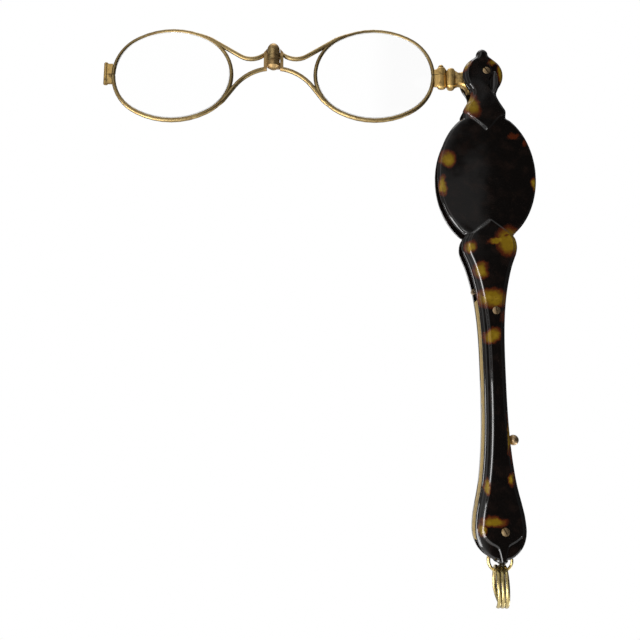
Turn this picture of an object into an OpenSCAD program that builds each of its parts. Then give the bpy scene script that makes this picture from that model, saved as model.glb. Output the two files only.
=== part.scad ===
// Folding lorgnette: two oval eyepieces on a sprung bridge hinge, which swing
// out of a two-plate tortoiseshell handle. All sizes are in millimetres.
// The origin is in the middle of the handle, at the narrowest part of the grip.
// X runs along the open frame, Y from the front plate to the back one, Z up.

/* [Handle] */
// Height of the frame's pivot above the narrowest part of the grip
pivot_z = 91.5; // [88:0.5:96]
// How far the plates' centre line lies to the left of the line of screws
plate_shift = 0.95; // [0.6:0.05:1.3]
// Gap between the two plates, which takes the folded lenses
slot_w = 4.2; // [4.2:0.05:5]
// Thickness of a plate at the edge of the lens cover
cover_edge_t = 0.75; // [0.5:0.05:1]
// Thickness of a plate at the shoulder of the lens cover
cover_t = 1.25; // [1.1:0.05:1.6]
// Extra thickness of the lens cover at its centre line
cover_crown = 0.25; // [0:0.05:0.4]
// Width of the bevel along a plate's edge
edge_bevel = 0.6; // [0.3:0.05:0.9]
// Full thickness of a plate at the raised neck and grip
plate_t = 1.9; // [1.8:0.05:2.4]
// Width of the bevel along the raised neck and grip
raise_bevel = 0.65; // [0.3:0.05:0.9]
// Ledge left between a plate's edge bevel and the raised part
raise_ledge = 0.15; // [0.05:0.05:0.4]

/* [Plate outline] */
// Radius of the finial on top of the head
finial_r = 1.72; // [1.4:0.02:2]
// Height of the finial's centre above the pivot
finial_rise = 5.4; // [5:0.1:6]
// Half-width of the round head
head_half_w = 5.93; // [5.5:0.05:6.5]
// Distance of the head's widest part under the pivot
head_drop = 0.95; // [0.6:0.05:1.3]
// Half-height of the oval that rounds the head off above
head_top_half_h = 5.7; // [5.4:0.05:6]
// Half-height of the oval that rounds the head off below
head_low_half_h = 6.3; // [6:0.05:6.6]
// Half-width of the neck's waist under the head
neck_half_w = 3.78; // [3.2:0.05:4.5]
// Distance of the neck's waist under the pivot
neck_drop = 7.1; // [6.8:0.05:7.4]
// Half-width of the shoulders where the neck meets the lens cover
shoulder_half_w = 6.22; // [5.6:0.05:7]
// Distance of the shoulders under the pivot
shoulder_drop = 12.6; // [12.2:0.1:13]
// Half-width of the lens cover
cover_half_w = 14.25; // [13:0.05:15.5]
// Half-height of the oval that the lens cover follows
cover_half_h = 20.05; // [19:0.05:21]
// Distance of the lens cover's centre under the pivot
cover_drop = 32.6; // [31.5:0.1:34]
// Half-width of the grip at its top
grip_top_half_w = 7.85; // [7:0.05:8.6]
// Distance of the grip's widest part under the end of the lens cover
grip_top_drop = 3.6; // [3.2:0.1:4.2]
// Half-width of the grip's throat
throat_half_w = 6.25; // [5.8:0.05:6.8]
// Distance of the throat under the end of the lens cover
throat_drop = 8.9; // [8.2:0.1:9.8]
// Half-width of the grip at its narrowest part
grip_waist_half_w = 3.05; // [2.9:0.05:3.8]
// Half-width of the grip where it begins to swell towards its foot
swell_half_w = 4.6; // [4.2:0.05:5]
// Distance of that place under the waist
swell_drop = 27.5; // [25:0.5:30]
// Half-width of the grip's rounded foot
grip_foot_half_w = 6.85; // [6:0.05:7.6]
// Distance of the widest part of the foot under the waist
foot_drop = 40.4; // [38:0.2:43]
// Half-height of the oval that rounds the foot off
foot_half_h = 8; // [7:0.1:8.4]
// Radius of the small drop carved at the handle's tip
tip_r = 1.6; // [1.2:0.05:2]
// How far the drop's centre lies above the end of the foot's oval
tip_sink = 0.6; // [0.3:0.05:0.9]

/* [Raised panels] */
// How far the raised grip is centred to the right of the plates' centre line
panel_shift = 0.4; // [0:0.05:0.6]
// Width of the raised rib to the right of the centre line, where it runs down from the finial
rib_right_w = 1.9; // [1.7:0.05:2.2]
// Width of the raised head to the right of the centre line, beside the pivot screw
boss_right_w = 2.7; // [2.6:0.05:3]
// Width of the raised head to the right of the centre line, beside the hollow under the screw
hollow_right_w = 1.6; // [1.4:0.05:2]
// Distance of that hollow's middle under the pivot
hollow_drop = 3.6; // [3.3:0.1:4]
// Half-width of the raised neck at the shoulders
collar_half_w = 5.3; // [4.5:0.05:5.4]
// Length of the neck's pointed end, which overlaps the lens cover
neck_point = 4.4; // [3:0.1:6]
// Length of the grip's pointed end, which overlaps the lens cover
grip_point = 4.1; // [3:0.1:6]
// Height of a raised part's upright side, inside the thickness of the plate
panel_root = 0.6; // [0.4:0.05:0.8]

/* [Frame] */
// Outer width of an eyepiece rim
rim_w = 37; // [35:0.1:38]
// Outer height of an eyepiece rim
rim_h = 30.4; // [29.4:0.1:31.4]
// How far the outer radius of a rim's two ends falls short of half its height
rim_end_less = 1.2; // [0.8:0.1:2.2]
// Distance from the pivot to the middle of the right lens
lens_dist = 32.9; // [32:0.1:34]
// Distance from the bridge hinge's axis to the nearer edge of each rim
bridge_half = 12; // [11.4:0.1:13]
// Height of the lens centre line above the pivot
lens_rise = 0.8; // [0.4:0.05:1.2]
// Distance of the lenses behind the bridge hinge's axis
lens_y = 1; // [0.95:0.01:1.1]
// Diameter of the rim wire along its top
rim_wire_top = 1.1; // [0.9:0.05:1.25]
// Diameter of the rim wire along its bottom
rim_wire_bottom = 1.4; // [1.2:0.05:1.5]
// Diameter of the wires of the bridge
arm_wire = 1.4; // [1.2:0.05:1.5]
// Angle along the rim over which a bridge wire runs out into it
arm_merge_a = 18; // [10:1:24]
// Diameter of a bridge wire's end, inside the rim wire
arm_end_wire = 0.8; // [0.6:0.05:0.8]
// Opening between the two ends of a rim wire, inside its closing joint
rim_split = 0.3; // [0.2:0.05:0.6]
// Depth of the groove that holds the lens
groove_d = 0.3; // [0.2:0.02:0.4]
// Height of the closing joint at the left rim's outer end
joint_h = 6.7; // [6.2:0.1:7.2]
// Distance from that rim's edge to the middle of the joint's rolled tube
joint_reach = 1.6; // [1.5:0.05:2]
// Radius of the rolled tube
joint_tube_r = 0.65; // [0.6:0.01:0.72]
// Thickness of the joint's plate
joint_t = 1; // [0.8:0.05:1.1]

/* [Lenses] */
// Thickness of a lens in its middle
lens_t = 1.5; // [1.2:0.05:1.6]
// Radius of a lens's two faces
lens_face_r = 420; // [300:10:900]
// Thickness of the tongue round a lens's edge
tongue_t = 0.4; // [0.3:0.05:0.5]
// Running gap between a lens's tongue and the bottom of its groove
lens_gap = 0.05; // [0.03:0.01:0.1]

/* [Bridge hinge] */
// Radius of the hinge barrel
barrel_r = 1.9; // [1.8:0.02:1.95]
// Height of the barrel's foot above the pivot
barrel_z = 2.3; // [1.8:0.1:2.8]
// Height of each of the three knuckles
knuckle_h = 1.6; // [1.4:0.05:1.8]
// Height of the chamfered foot
barrel_foot_h = 0.7; // [0.5:0.05:0.9]
// Height of the domed cap, which houses the spring
barrel_cap_h = 2.8; // [2.4:0.05:3.2]
// Radius of the hinge pin
bridge_pin_r = 0.6; // [0.5:0.02:0.7]
// Reach of a hinge leaf from the barrel's axis
leaf_reach = 2.95; // [2.8:0.05:3.4]
// Thickness of a hinge leaf
leaf_t = 1.3; // [1:0.05:1.4]
// Lowest point of the dip in the upper bridge wires, above the pivot
arm_dip_z = 6.1; // [5.6:0.1:6.6]
// Distance of that dip from the barrel's axis
arm_dip_x = 6.8; // [6.4:0.1:7.4]
// Bend radius of the upper bridge wires
arm_dip_r = 6.3; // [5.7:0.1:7]
// Highest point of the lower bridge wires' centre line, above the pivot
arm_arch_z = 3.1; // [2.8:0.05:3.4]
// Bend radius of the lower bridge wires
arm_arch_r = 14.6; // [13.6:0.1:15.2]

/* [Pivot] */
// Radius of the hub that turns between the plates
hub_r = 4.3; // [4.1:0.05:4.35]
// Thickness of the hub
hub_t = 3.5; // [3.3:0.02:3.5]
// Running gap between the hub and each washer
washer_gap = 0.03; // [0.02:0.01:0.06]
// Outer radius of the washers
washer_r = 2.6; // [2.2:0.05:3]
// Radius of the pivot screw's shank
pivot_r = 0.9; // [0.8:0.05:1]
// Running clearance round pins and shanks
run_clear = 0.04; // [0.02:0.01:0.06]
// Radius of the pocket in the hub that takes the swing spring
pocket_r = 3.4; // [3.1:0.05:3.6]
// Depth of that pocket
pocket_d = 1.7; // [1.6:0.05:1.9]
// Height of the outer ridge of the end block, beside the right rim
ridge_h = 7.05; // [6.6:0.05:7.4]
// Width of the outer ridge
ridge_w = 2.85; // [2.6:0.05:3]
// Distance of the outer ridge from the rim's edge
ridge_past = 0.35; // [0.2:0.05:0.5]
// Distance of the outer ridge's middle under the pivot
ridge_drop = 0.1; // [0:0.05:0.3]
// Height of the inner ridge of the end block
inner_ridge_h = 6.3; // [5.8:0.05:6.8]
// Width of the inner ridge
inner_ridge_w = 2.5; // [2.2:0.05:2.7]
// Distance of the inner ridge's middle under the pivot
inner_ridge_drop = 0.9; // [0.7:0.05:1.1]
// How far the ridges stand out from the grooves beside them, up and down
ridge_rise = 0.65; // [0.4:0.05:0.8]
// How far they stand out to the front and back
ridge_bulge = 0.4; // [0.2:0.05:0.5]
// Height of the shank between the end block and the hub
shank_h = 3.9; // [3.4:0.1:4.4]
// Distance of the shank's middle under the pivot
shank_drop = 1; // [0.8:0.05:1.2]
// Radius of the fillet under the shank, where it flares out to the hub
flare_low_r = 2.5; // [2.2:0.05:2.7]
// Radius of the fillet above the shank
flare_top_r = 3.8; // [3.4:0.1:4.4]

/* [Screws] */
// Radius of the pivot screw's head
pivot_head_r = 1.2; // [1.15:0.01:1.4]
// Radius of the grip screws' heads
head_r = 1.45; // [1.25:0.05:1.6]
// Height of the screw heads
head_h = 0.6; // [0.45:0.05:0.7]
// Radius of the two grip screws' shanks
grip_screw_r = 0.8; // [0.6:0.05:0.85]
// Width of the screw slots
slot_cut_w = 0.35; // [0.25:0.05:0.5]
// Depth of the screw slots
slot_cut_d = 0.35; // [0.2:0.05:0.4]
// Radius of the round nuts in the back plate
nut_r = 1.35; // [1.15:0.05:1.5]
// Height of the round nuts
nut_h = 0.9; // [0.7:0.05:1.1]
// Distance of the upper grip screw under the end of the lens cover
upper_screw_drop = 22.2; // [20:0.1:24]
// Distance of the lower grip screw under the waist
lower_screw_drop = 40.8; // [39.5:0.1:41.5]

/* [Spacers and catch] */
// How far the brass spacers lie inside the plates' edges
spacer_inset = 0.35; // [0.2:0.05:0.6]
// Thickness of the spacers
spacer_t = 1.1; // [0.9:0.05:1.2]
// Distance of the left spacer's top under the end of the lens cover
left_spacer_start = 18.9; // [18.8:0.1:20]
// Distance of the right spacer's top under the end of the lens cover
right_spacer_start = 17.1; // [16.7:0.1:19]
// Bottom of the spacers, under the waist
spacer_drop = 43; // [42:0.1:43.4]
// Thickness of the catch bar
catch_t = 1.2; // [1:0.05:1.6]
// Width of the catch bar beside the upper screw
catch_w = 1.8; // [1.4:0.05:1.9]
// Travel of the catch
catch_travel = 1.6; // [1:0.1:1.6]
// Radius of the catch's nose
nose_r = 0.8; // [0.7:0.05:0.9]
// Distance of the nose's centre under the end of the lens cover
nose_drop = 16.15; // [16.05:0.05:16.35]
// Distance of the nose's centre to the left of the screws
nose_x = 5.35; // [5:0.05:5.5]
// Radius of the catch's ball button
ball_r = 1.45; // [1.2:0.05:1.7]
// Distance of the ball's centre to the right of the screws
ball_x = 4.1; // [3.95:0.05:4.6]
// Distance of the ball under the waist
ball_drop = 16.6; // [15:0.1:18]
// Radius of the ball's stem
stem_r = 0.5; // [0.4:0.02:0.6]
// Height of the spring block, which carries the return spring
block_h = 2; // [1.6:0.1:2.6]
// Height of the return spring
catch_spring_h = 7; // [6.4:0.1:8]
// Curls of the return spring
catch_spring_turns = 7; // [5:1:8]

/* [Rings] */
// Distance of the ring pin under the waist
ring_pin_drop = 46.5; // [46:0.1:47]
// Radius of the ring pin
ring_pin_r = 0.6; // [0.5:0.02:0.7]
// Radius of the small ring at the middle of its wire
small_ring_r = 3.1; // [3:0.05:3.3]
// Diameter of the small ring's wire
small_ring_wire = 0.75; // [0.6:0.05:0.8]
// Radius of the split ring at the middle of its wire
split_ring_r = 5.2; // [4.8:0.1:5.6]
// Diameter of the split ring's wire
split_ring_wire = 0.85; // [0.7:0.05:0.9]
// Turns of the split ring
split_ring_turns = 3; // [2:1:3]
// Gap between neighbouring turns of a ring's wire
ring_turn_gap = 0.42; // [0.41:0.01:0.6]
// Gap between the linked rings at rest
link_gap = 0.12; // [0.08:0.01:0.3]
// How far the split ring is turned out of the handle's middle plane, in degrees
split_ring_turn = 6; // [0:1:8]

/* [Hidden] */

// Colours, as on the real object
shell_colour = [0.10, 0.07, 0.05];
brass_colour = [0.72, 0.56, 0.30];
steel_colour = [0.55, 0.53, 0.50];
glass_colour = [0.86, 0.92, 0.92, 0.35];

// Fineness of round parts, and of small cross bores
$fn = 64;
small_fn = 32;
// Sides of a wire, and rings round one rim
wire_sides = 8;
rim_steps = 52;
// Sides and rings per turn of a coiled wire
coil_sides = 6;
curl_rings = 8;
loop_rings = 24;
// A cut runs this far past the face that it opens
cut = 1;
// Smallest half-width of a plate, at its two ends
end_half_w = 0.12;
// Longest step along a plate's outline, and the fewest steps between two of its stations
outline_step = 3.8;
outline_steps = 3;
// Number of rings across a ridge of the end block, and along a fillet beside it
bead_steps = 6;
fillet_steps = 5;
// Number of rings along the bend of a bridge wire, and along its run into the rim
bend_steps = 7;
merge_steps = 4;
// Gap between neighbours that are pressed or soldered together
seat_gap = 0.02;

// Distance from the pivot to the bridge hinge, and the radius of a rim's ends
bridge_dist = lens_dist + rim_w / 2 + bridge_half;
rim_end_r = rim_h / 2 - rim_end_less;

// Heights measured from the origin at the grip's waist
slot_half = slot_w / 2;
cover_z = pivot_z - cover_drop;
foot_z = -foot_drop;
lower_screw = [0, -lower_screw_drop];
ring_pin_z = -ring_pin_drop;
plate_x = -plate_shift;
panel_x = plate_x + panel_shift;
face_y = slot_half + plate_t;
ball_z = -ball_drop;

// Curves and outlines

// Height along a smooth curve from a to b, with the slopes ma and mb at its ends
function ease(s, a, b, ma, mb) =
    a * (1 - 3 * s * s + 2 * s * s * s) + b * (3 * s * s - 2 * s * s * s)
    + ma * (s - 2 * s * s + s * s * s) + mb * (s * s * s - s * s);

// Points [z, half-width] from one station to the next. A station is [z, half-width, widening per mm down]
function flow(from, to) =
    let (run = from[0] - to[0], steps = max(outline_steps, ceil(run / outline_step)))
    [
        for (i = [1 : steps])
            let (s = i / steps) [from[0] - s * run, ease(s, from[1], to[1], from[2] * run, to[2] * run)]
    ];

// Points [z, half-width] on an oval, between two angles measured from straight up
function oval_side(mid_z, half_w, half_h, from, to, steps) = [
    for (i = [0 : steps])
        let (a = from + (to - from) * i / steps)
        [mid_z + half_h * cos(a), max(end_half_w, half_w * sin(a))]
];

// Stations of the plate's outline, from the finial down. The finial runs into the head where the head's
// oval has fallen to a share of its half-height, and the neck leaves the head at an angle from straight up
finial_z = pivot_z + finial_rise;
head_z = pivot_z - head_drop;
head_join_share = 0.78;
head_join_slope = 1.3;
head_join = [
    head_z + head_join_share * head_top_half_h,
    head_half_w * sqrt(1 - head_join_share * head_join_share), head_join_slope
];
head_round_a = 45;
head_leave_a = 129;
head_leave_slope = -0.7;
head_leave = [
    head_z + head_low_half_h * cos(head_leave_a),
    head_half_w * sin(head_leave_a), head_leave_slope
];
neck_z = pivot_z - neck_drop;
neck_waist = [neck_z, neck_half_w, 0];
shoulder_slope = 0.2;
shoulder_z = pivot_z - shoulder_drop;
shoulder = [shoulder_z, shoulder_half_w, shoulder_slope];
// The shoulder's straight side ends, and the grip begins, where the cover's oval reaches their widths
cover_start_a = asin(shoulder_half_w / cover_half_w);
grip_start_less = 1;
grip_start_w = grip_top_half_w - grip_start_less;
cover_end_a = 180 - asin(grip_start_w / cover_half_w);
cover_steps = 22;
finial_steps = 7;
head_steps = 4;
foot_steps = 7;
tip_steps = 5;
grip_start_slope = 0.6;
grip_start_z = cover_z + cover_half_h * cos(cover_end_a);
grip_start = [grip_start_z, grip_start_w, grip_start_slope];
grip_top = [grip_start_z - grip_top_drop, grip_top_half_w, 0];
throat_slope = -0.31;
grip_throat = [grip_start_z - throat_drop, throat_half_w, throat_slope];
grip_waist = [0, grip_waist_half_w, 0];
swell_slope = 0.15;
grip_swell = [-swell_drop, swell_half_w, swell_slope];
grip_foot = [foot_z, grip_foot_half_w, 0];
foot_end_a = 163;
tip_z = foot_z - foot_half_h + tip_sink;
// Places measured from the end of the lens cover
upper_screw_z = grip_start_z - upper_screw_drop;
upper_screw = [0, upper_screw_z];
nose_z = grip_start_z - nose_drop;
// An oval's own points begin or end this many degrees away from a station that already stands there
turn_step = 10;
cover_last_a = cover_end_a - turn_step / 3;

GRIP_SIDE = concat(
    [[grip_start_z, grip_start_w]],
    flow(grip_start, grip_top),
    flow(grip_top, grip_throat),
    flow(grip_throat, grip_waist),
    flow(grip_waist, grip_swell),
    flow(grip_swell, grip_foot)
);
OUTLINE = concat(
    oval_side(finial_z, finial_r, finial_r, 0, 90, finial_steps),
    flow([finial_z, finial_r, 0], head_join),
    oval_side(head_z, head_half_w, head_top_half_h, head_round_a, 90, head_steps),
    oval_side(head_z, head_half_w, head_low_half_h, 90 + turn_step, head_leave_a, head_steps),
    flow(head_leave, neck_waist),
    flow(neck_waist, shoulder),
    oval_side(cover_z, cover_half_w, cover_half_h, cover_start_a, cover_last_a, cover_steps),
    GRIP_SIDE,
    oval_side(foot_z, grip_foot_half_w, foot_half_h, 90 + turn_step, foot_end_a, foot_steps),
    oval_side(tip_z, tip_r, tip_r, 90 + turn_step, 180, tip_steps)
);

// Half-width of the plate at a height, read along the outline's straight steps
function side_w(z, i = 0) =
    i > len(OUTLINE) - 2 ? end_half_w
    : (z <= OUTLINE[i][0] && z >= OUTLINE[i + 1][0])
        ? let (a = OUTLINE[i], b = OUTLINE[i + 1], t = (a[0] - z) / max(0.001, a[0] - b[0]))
            a[1] + (b[1] - a[1]) * t
    : side_w(z, i + 1);

// Solids swept from rings of points

// Skin over a list of rings, each with as many points, closed by a flat face at both ends
module skin(rings) {
    n = len(rings[0]);
    last = len(rings) - 1;
    polyhedron(
        points = [for (r = rings) each r],
        faces = concat(
            [for (i = [0 : last - 1], j = [0 : n - 1])
                let (a = i * n + j, b = i * n + (j + 1) % n) each [[a, b, b + n], [a, b + n, a + n]]],
            [[for (j = [n - 1 : -1 : 0]) j]],
            [[for (j = [0 : n - 1]) last * n + j]]
        ),
        convexity = 10
    );
}

// A bevel takes up at most this share of a half-width, where a plate or panel ends in a point
bevel_share = 0.45;

// Rings of a plate: a flat inside, a thin edge, a bevel and a crowned face
module plate_body() {
    skin([
        for (p = OUTLINE)
            let (
                z = p[0], w = p[1], bevel = min(edge_bevel, bevel_share * w),
                edge_y = -slot_half - min(cover_edge_t, cover_t / 2 + bevel_share * w),
                side_y = -slot_half - cover_t,
                mid_y = side_y - cover_crown * min(1, w / shoulder_half_w)
            )
            [
                [plate_x - w, -slot_half, z], [plate_x - w, edge_y, z],
                [plate_x - w + bevel, side_y, z], [plate_x, mid_y, z],
                [plate_x + w - bevel, side_y, z],
                [plate_x + w, edge_y, z], [plate_x + w, -slot_half, z]
            ]
    ]);
}

// Rings of a raised panel, from points [z, width to the left, width to the right] as seen from the
// plates' centre line. Its foot is sunk in the plate
module panel(side) {
    skin([
        for (p = side)
            let (
                z = p[0], left = plate_x - p[1], right = plate_x + p[2],
                bevel = min(raise_bevel, bevel_share * (right - left) / 2),
                side_y = -slot_half - cover_t + panel_sink, foot_y = side_y + panel_root
            )
            [
                [left, foot_y, z], [left, side_y, z], [left + bevel, -face_y, z],
                [right - bevel, -face_y, z], [right, side_y, z], [right, foot_y, z]
            ]
    ]);
}

// A raised panel stands back from the plate's edge by the bevel and the ledge
panel_sink = 0.15;
panel_inset = edge_bevel + raise_ledge;
finial_panel_w = finial_r - raise_ledge;

// Points of a panel that is even about a line to the right of the centre line
function shifted(side) = [for (p = side) [p[0], p[1] - panel_shift, p[1] + panel_shift]];

// Points along a panel's pointed end, from its full half-width towards its tip
point_steps = 5;
point_blunt = 0.2;
function point_side(z, half_w, length) = [
    for (i = [0 : point_steps])
        let (s = i / (point_steps + point_blunt)) [z + length * s, half_w * (1 - s)]
];

// The raised head and neck follow the plate's edge on the left. On the right they run from a rib under
// the finial round the screw, draw in beside a hollow, and widen to the collar
rib_drop = 2.4;
rib_end = [finial_z - rib_drop, rib_right_w, 0];
boss_top = [pivot_z, boss_right_w, 0];
hollow = [pivot_z - hollow_drop, hollow_right_w, 0];
neck_mid_slope = 0.5;
neck_mid = [neck_z, neck_half_w - panel_inset, neck_mid_slope];
collar_drop = 1.4;
collar_side = 1;
collar_slope = 0.3;
collar_z = shoulder_z - collar_drop;
collar_top = [collar_z + collar_side, collar_half_w, collar_slope];
NECK_RIGHT = concat(
    flow([finial_z, finial_panel_w, 0], rib_end),
    flow(rib_end, boss_top),
    flow(boss_top, hollow),
    flow(hollow, neck_mid),
    flow(neck_mid, collar_top)
);
FINIAL_TOP = oval_side(finial_z, finial_panel_w, finial_panel_w, 2 * turn_step, 90, head_steps);
NECK_PANEL = concat(
    [for (p = FINIAL_TOP) [p[0], p[1], p[1]]],
    [for (p = NECK_RIGHT) [p[0], max(finial_panel_w, side_w(p[0]) - panel_inset), p[1]]],
    shifted(point_side(collar_z, collar_half_w, -neck_point))
);

grip_inset = panel_inset + panel_shift;
foot_panel_w = grip_foot_half_w - grip_inset;
foot_panel_h = foot_half_h - grip_inset;
GRIP_POINT = point_side(grip_start_z, grip_start_w - grip_inset, grip_point);
GRIP_PANEL = shifted(concat(
    [for (i = [point_steps : -1 : 1]) GRIP_POINT[i]],
    [for (p = GRIP_SIDE) [p[0], p[1] - grip_inset]],
    oval_side(foot_z, foot_panel_w, foot_panel_h, 90 + turn_step, foot_end_a, foot_steps)
));

// Round hole through a plate, with a wider seat from its face down to a depth
module screw_hole(at, hole_r, seat_r, seat_d) {
    translate([at[0], -slot_half + cut, at[1]]) rotate([90, 0, 0])
        cylinder(r = hole_r, h = plate_t + 2 * cut);
    translate([at[0], -face_y + seat_d, at[1]]) rotate([90, 0, 0])
        cylinder(r = seat_r, h = seat_d + cut);
}

// One plate, as seen from the front, with seats for the screws' heads or for their nuts
module plate(pivot_seat_r, grip_seat_r, seat_d) {
    difference() {
        union() {
            plate_body();
            panel(NECK_PANEL);
            panel(GRIP_PANEL);
        }
        screw_hole([0, pivot_z], pivot_r + run_clear, pivot_seat_r, seat_d);
        for (s = [upper_screw, lower_screw])
            screw_hole(s, grip_screw_r + run_clear, grip_seat_r, seat_d);
        // Blind hole for the ring pin
        translate([plate_x, -slot_half + cut, ring_pin_z]) rotate([90, 0, 0])
            cylinder(r = ring_pin_r + run_clear, h = cut + cover_t / 2);
    }
}

module front_plate() {
    color(shell_colour) plate(pivot_head_r + run_clear, head_r + run_clear, head_h);
}

module back_plate() {
    color(shell_colour) mirror([0, 1, 0]) plate(nut_r + run_clear, nut_r + run_clear, nut_h);
}

// Spacers and spring block

// Outline points between two heights, with the exact ends added and none close beside them
end_room = 0.3;
function side_between(top, bottom) = concat(
    [[top, side_w(top)]],
    [for (p = OUTLINE) if (p[0] < top - end_room && p[0] > bottom + end_room) p],
    [[bottom, side_w(bottom)]]
);

// Brass strip between the plates, just inside their edge. side is -1 for the left one and 1 for the right
module spacer(side, top) {
    skin([
        for (p = side_between(top, -spacer_drop))
            let (
                outer = plate_x + side * (p[1] - spacer_inset), inner = outer - side * spacer_t,
                low = min(outer, inner), high = max(outer, inner)
            )
            [
                [low, slot_half, p[0]], [low, -slot_half, p[0]],
                [high, -slot_half, p[0]], [high, slot_half, p[0]]
            ]
    ]);
}

module left_spacer() {
    color(brass_colour) spacer(-1, grip_start_z - left_spacer_start);
}

// The right spacer has a slot for the button's stem
stem_room = 0.2;

module right_spacer() {
    half = stem_r + stem_room;
    color(brass_colour) difference() {
        spacer(1, grip_start_z - right_spacer_start);
        translate([-cut, -half, ball_z - catch_travel - half])
            cube([3 * ball_x, 2 * half, catch_travel + 2 * half]);
    }
}

// The catch bar ends below the button's stem, and its spring stands between it and the block
bar_tail = 2.6;
bar_bottom = ball_z - bar_tail;
spring_gap = 0.1;
block_top = bar_bottom - catch_spring_h - spring_gap;
catch_shift = 0.1;
catch_x = plate_x - catch_shift;
catch_coil_r = 0.95;
catch_coil_wire = 0.4;
post_clear = 0.12;
post_short = 1;

// Cross block between the spacers, with a post inside the return spring
module spring_block() {
    post_r = catch_coil_r - catch_coil_wire / 2 - post_clear;
    root = 0.2;
    color(brass_colour) {
        skin([
            for (p = side_between(block_top, block_top - block_h))
                let (half = p[1] - spacer_inset - spacer_t - seat_gap, z = p[0])
                [
                    [plate_x - half, slot_half, z], [plate_x - half, -slot_half, z],
                    [plate_x + half, -slot_half, z], [plate_x + half, slot_half, z]
                ]
        ]);
        translate([catch_x, 0, block_top - root])
            cylinder(r = post_r, h = catch_spring_h - catch_travel - post_short);
    }
}

// Screws, nuts, washers and the ring pin. A screw's head lies in the front plate

// Each place is [x, z, turn of the slot in degrees]
PIVOT_PLACE = [0, pivot_z, 126];
UPPER_PLACE = [upper_screw[0], upper_screw[1], 96];
LOWER_PLACE = [lower_screw[0], lower_screw[1], 118];

module plate_screw(shank_r, screw_head_r, at) {
    color(brass_colour) translate([at[0], 0, at[1]]) rotate([90, 0, 0]) difference() {
        union() {
            translate([0, 0, -face_y + run_clear]) cylinder(r = shank_r, h = 2 * face_y - head_h);
            translate([0, 0, face_y - head_h]) cylinder(r = screw_head_r, h = head_h);
        }
        rotate([0, 0, at[2]])
            translate([-screw_head_r - cut, -slot_cut_w / 2, face_y - slot_cut_d])
                cube([2 * (screw_head_r + cut), slot_cut_w, slot_cut_d + cut]);
    }
}

module plate_nut(shank_r, at) {
    color(brass_colour) translate([at[0], face_y, at[1]]) rotate([90, 0, 0]) difference() {
        cylinder(r = nut_r, h = nut_h);
        translate([0, 0, -cut]) cylinder(r = shank_r + run_clear / 2, h = nut_h + 2 * cut);
    }
}

module pivot_screw() { plate_screw(pivot_r, pivot_head_r, PIVOT_PLACE); }
module upper_screw() { plate_screw(grip_screw_r, head_r, UPPER_PLACE); }
module lower_screw() { plate_screw(grip_screw_r, head_r, LOWER_PLACE); }
module pivot_nut() { plate_nut(pivot_r, PIVOT_PLACE); }
module upper_nut() { plate_nut(grip_screw_r, UPPER_PLACE); }
module lower_nut() { plate_nut(grip_screw_r, LOWER_PLACE); }

washer_t = slot_half - hub_t / 2 - washer_gap;

// Washer against the inside of a plate. side is -1 in front and 1 behind
module washer(side) {
    color(brass_colour) translate([0, side > 0 ? slot_half : -slot_half + washer_t, pivot_z])
        rotate([90, 0, 0]) difference() {
            cylinder(r = washer_r, h = washer_t);
            translate([0, 0, -cut]) cylinder(r = pivot_r + run_clear, h = washer_t + 2 * cut);
        }
}

module front_washer() { washer(-1); }
module back_washer() { washer(1); }

module ring_pin() {
    pin_l = slot_w + cover_t - 2 * run_clear;
    color(brass_colour) translate([plate_x, pin_l / 2, ring_pin_z]) rotate([90, 0, 0])
        cylinder(r = ring_pin_r, h = pin_l);
}

// Eyepieces. They are drawn round a lens centre, in the lens's own plane, and then placed

// Four-arc oval: radius of the long sides, for half-axes a and b and an end radius
function oval_side_r(a, b, end_r) = ((a - end_r) * (a - end_r) + b * b - end_r * end_r) / (2 * (b - end_r));

// Centre line of the rim wire
rim_a = (rim_w - rim_wire_bottom) / 2;
rim_b = (rim_h - rim_wire_bottom) / 2;
rim_r = rim_end_r - rim_wire_bottom / 2;
rim_c = rim_a - rim_r;
rim_side_r = oval_side_r(rim_a, rim_b, rim_r);
rim_k = rim_side_r - rim_b;
rim_turn = atan2(rim_k, rim_c);

// Point [x, z] on that line and its outward direction, at an angle of the outward direction
function rim_dir(a) = [cos(a), sin(a)];
function rim_point(a) =
    let (t = (a % 360 + 360) % 360)
    t < rim_turn || t > 360 - rim_turn ? [rim_c, 0] + rim_r * rim_dir(t)
    : t < 180 - rim_turn ? [0, -rim_k] + rim_side_r * rim_dir(t)
    : t < 180 + rim_turn ? [-rim_c, 0] + rim_r * rim_dir(t)
    : [0, rim_k] + rim_side_r * rim_dir(t);

// Section of the rim wire as [outward, y]: round, with the lens groove cut into its inside
groove_clear = 0.06;
groove_mouth_a = 31;
round_step_a = 36;
round_end_a = 3 * round_step_a;
function rim_section(wire) =
    let (
        r = wire / 2, lip = tongue_t / 2 + groove_clear,
        mouth = -r * cos(groove_mouth_a), floor = groove_d - r
    )
    concat(
        [for (a = [0 : round_step_a : round_end_a]) r * [cos(a), sin(a)]],
        [[mouth, lip], [floor, lip], [floor, -lip], [mouth, -lip]],
        [for (a = [-round_end_a : round_step_a : -round_step_a]) r * [cos(a), sin(a)]]
    );

rim_open_a = asin(rim_split / 2 / rim_r);
function wire_at(a) = (rim_wire_top + rim_wire_bottom) / 2 + (rim_wire_top - rim_wire_bottom) / 2 * sin(a);

// The rim wire, open by the split at its outer end. The bridge side is -X here
module rim_wire() {
    skin([
        for (i = [rim_steps : -1 : 0])
            let (
                a = rim_open_a + (360 - 2 * rim_open_a) * i / rim_steps,
                p = rim_point(a), d = rim_dir(a)
            )
            [for (q = rim_section(wire_at(a))) [p[0] + q[0] * d[0], q[1], p[1] + q[0] * d[1]]]
    ]);
}

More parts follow.
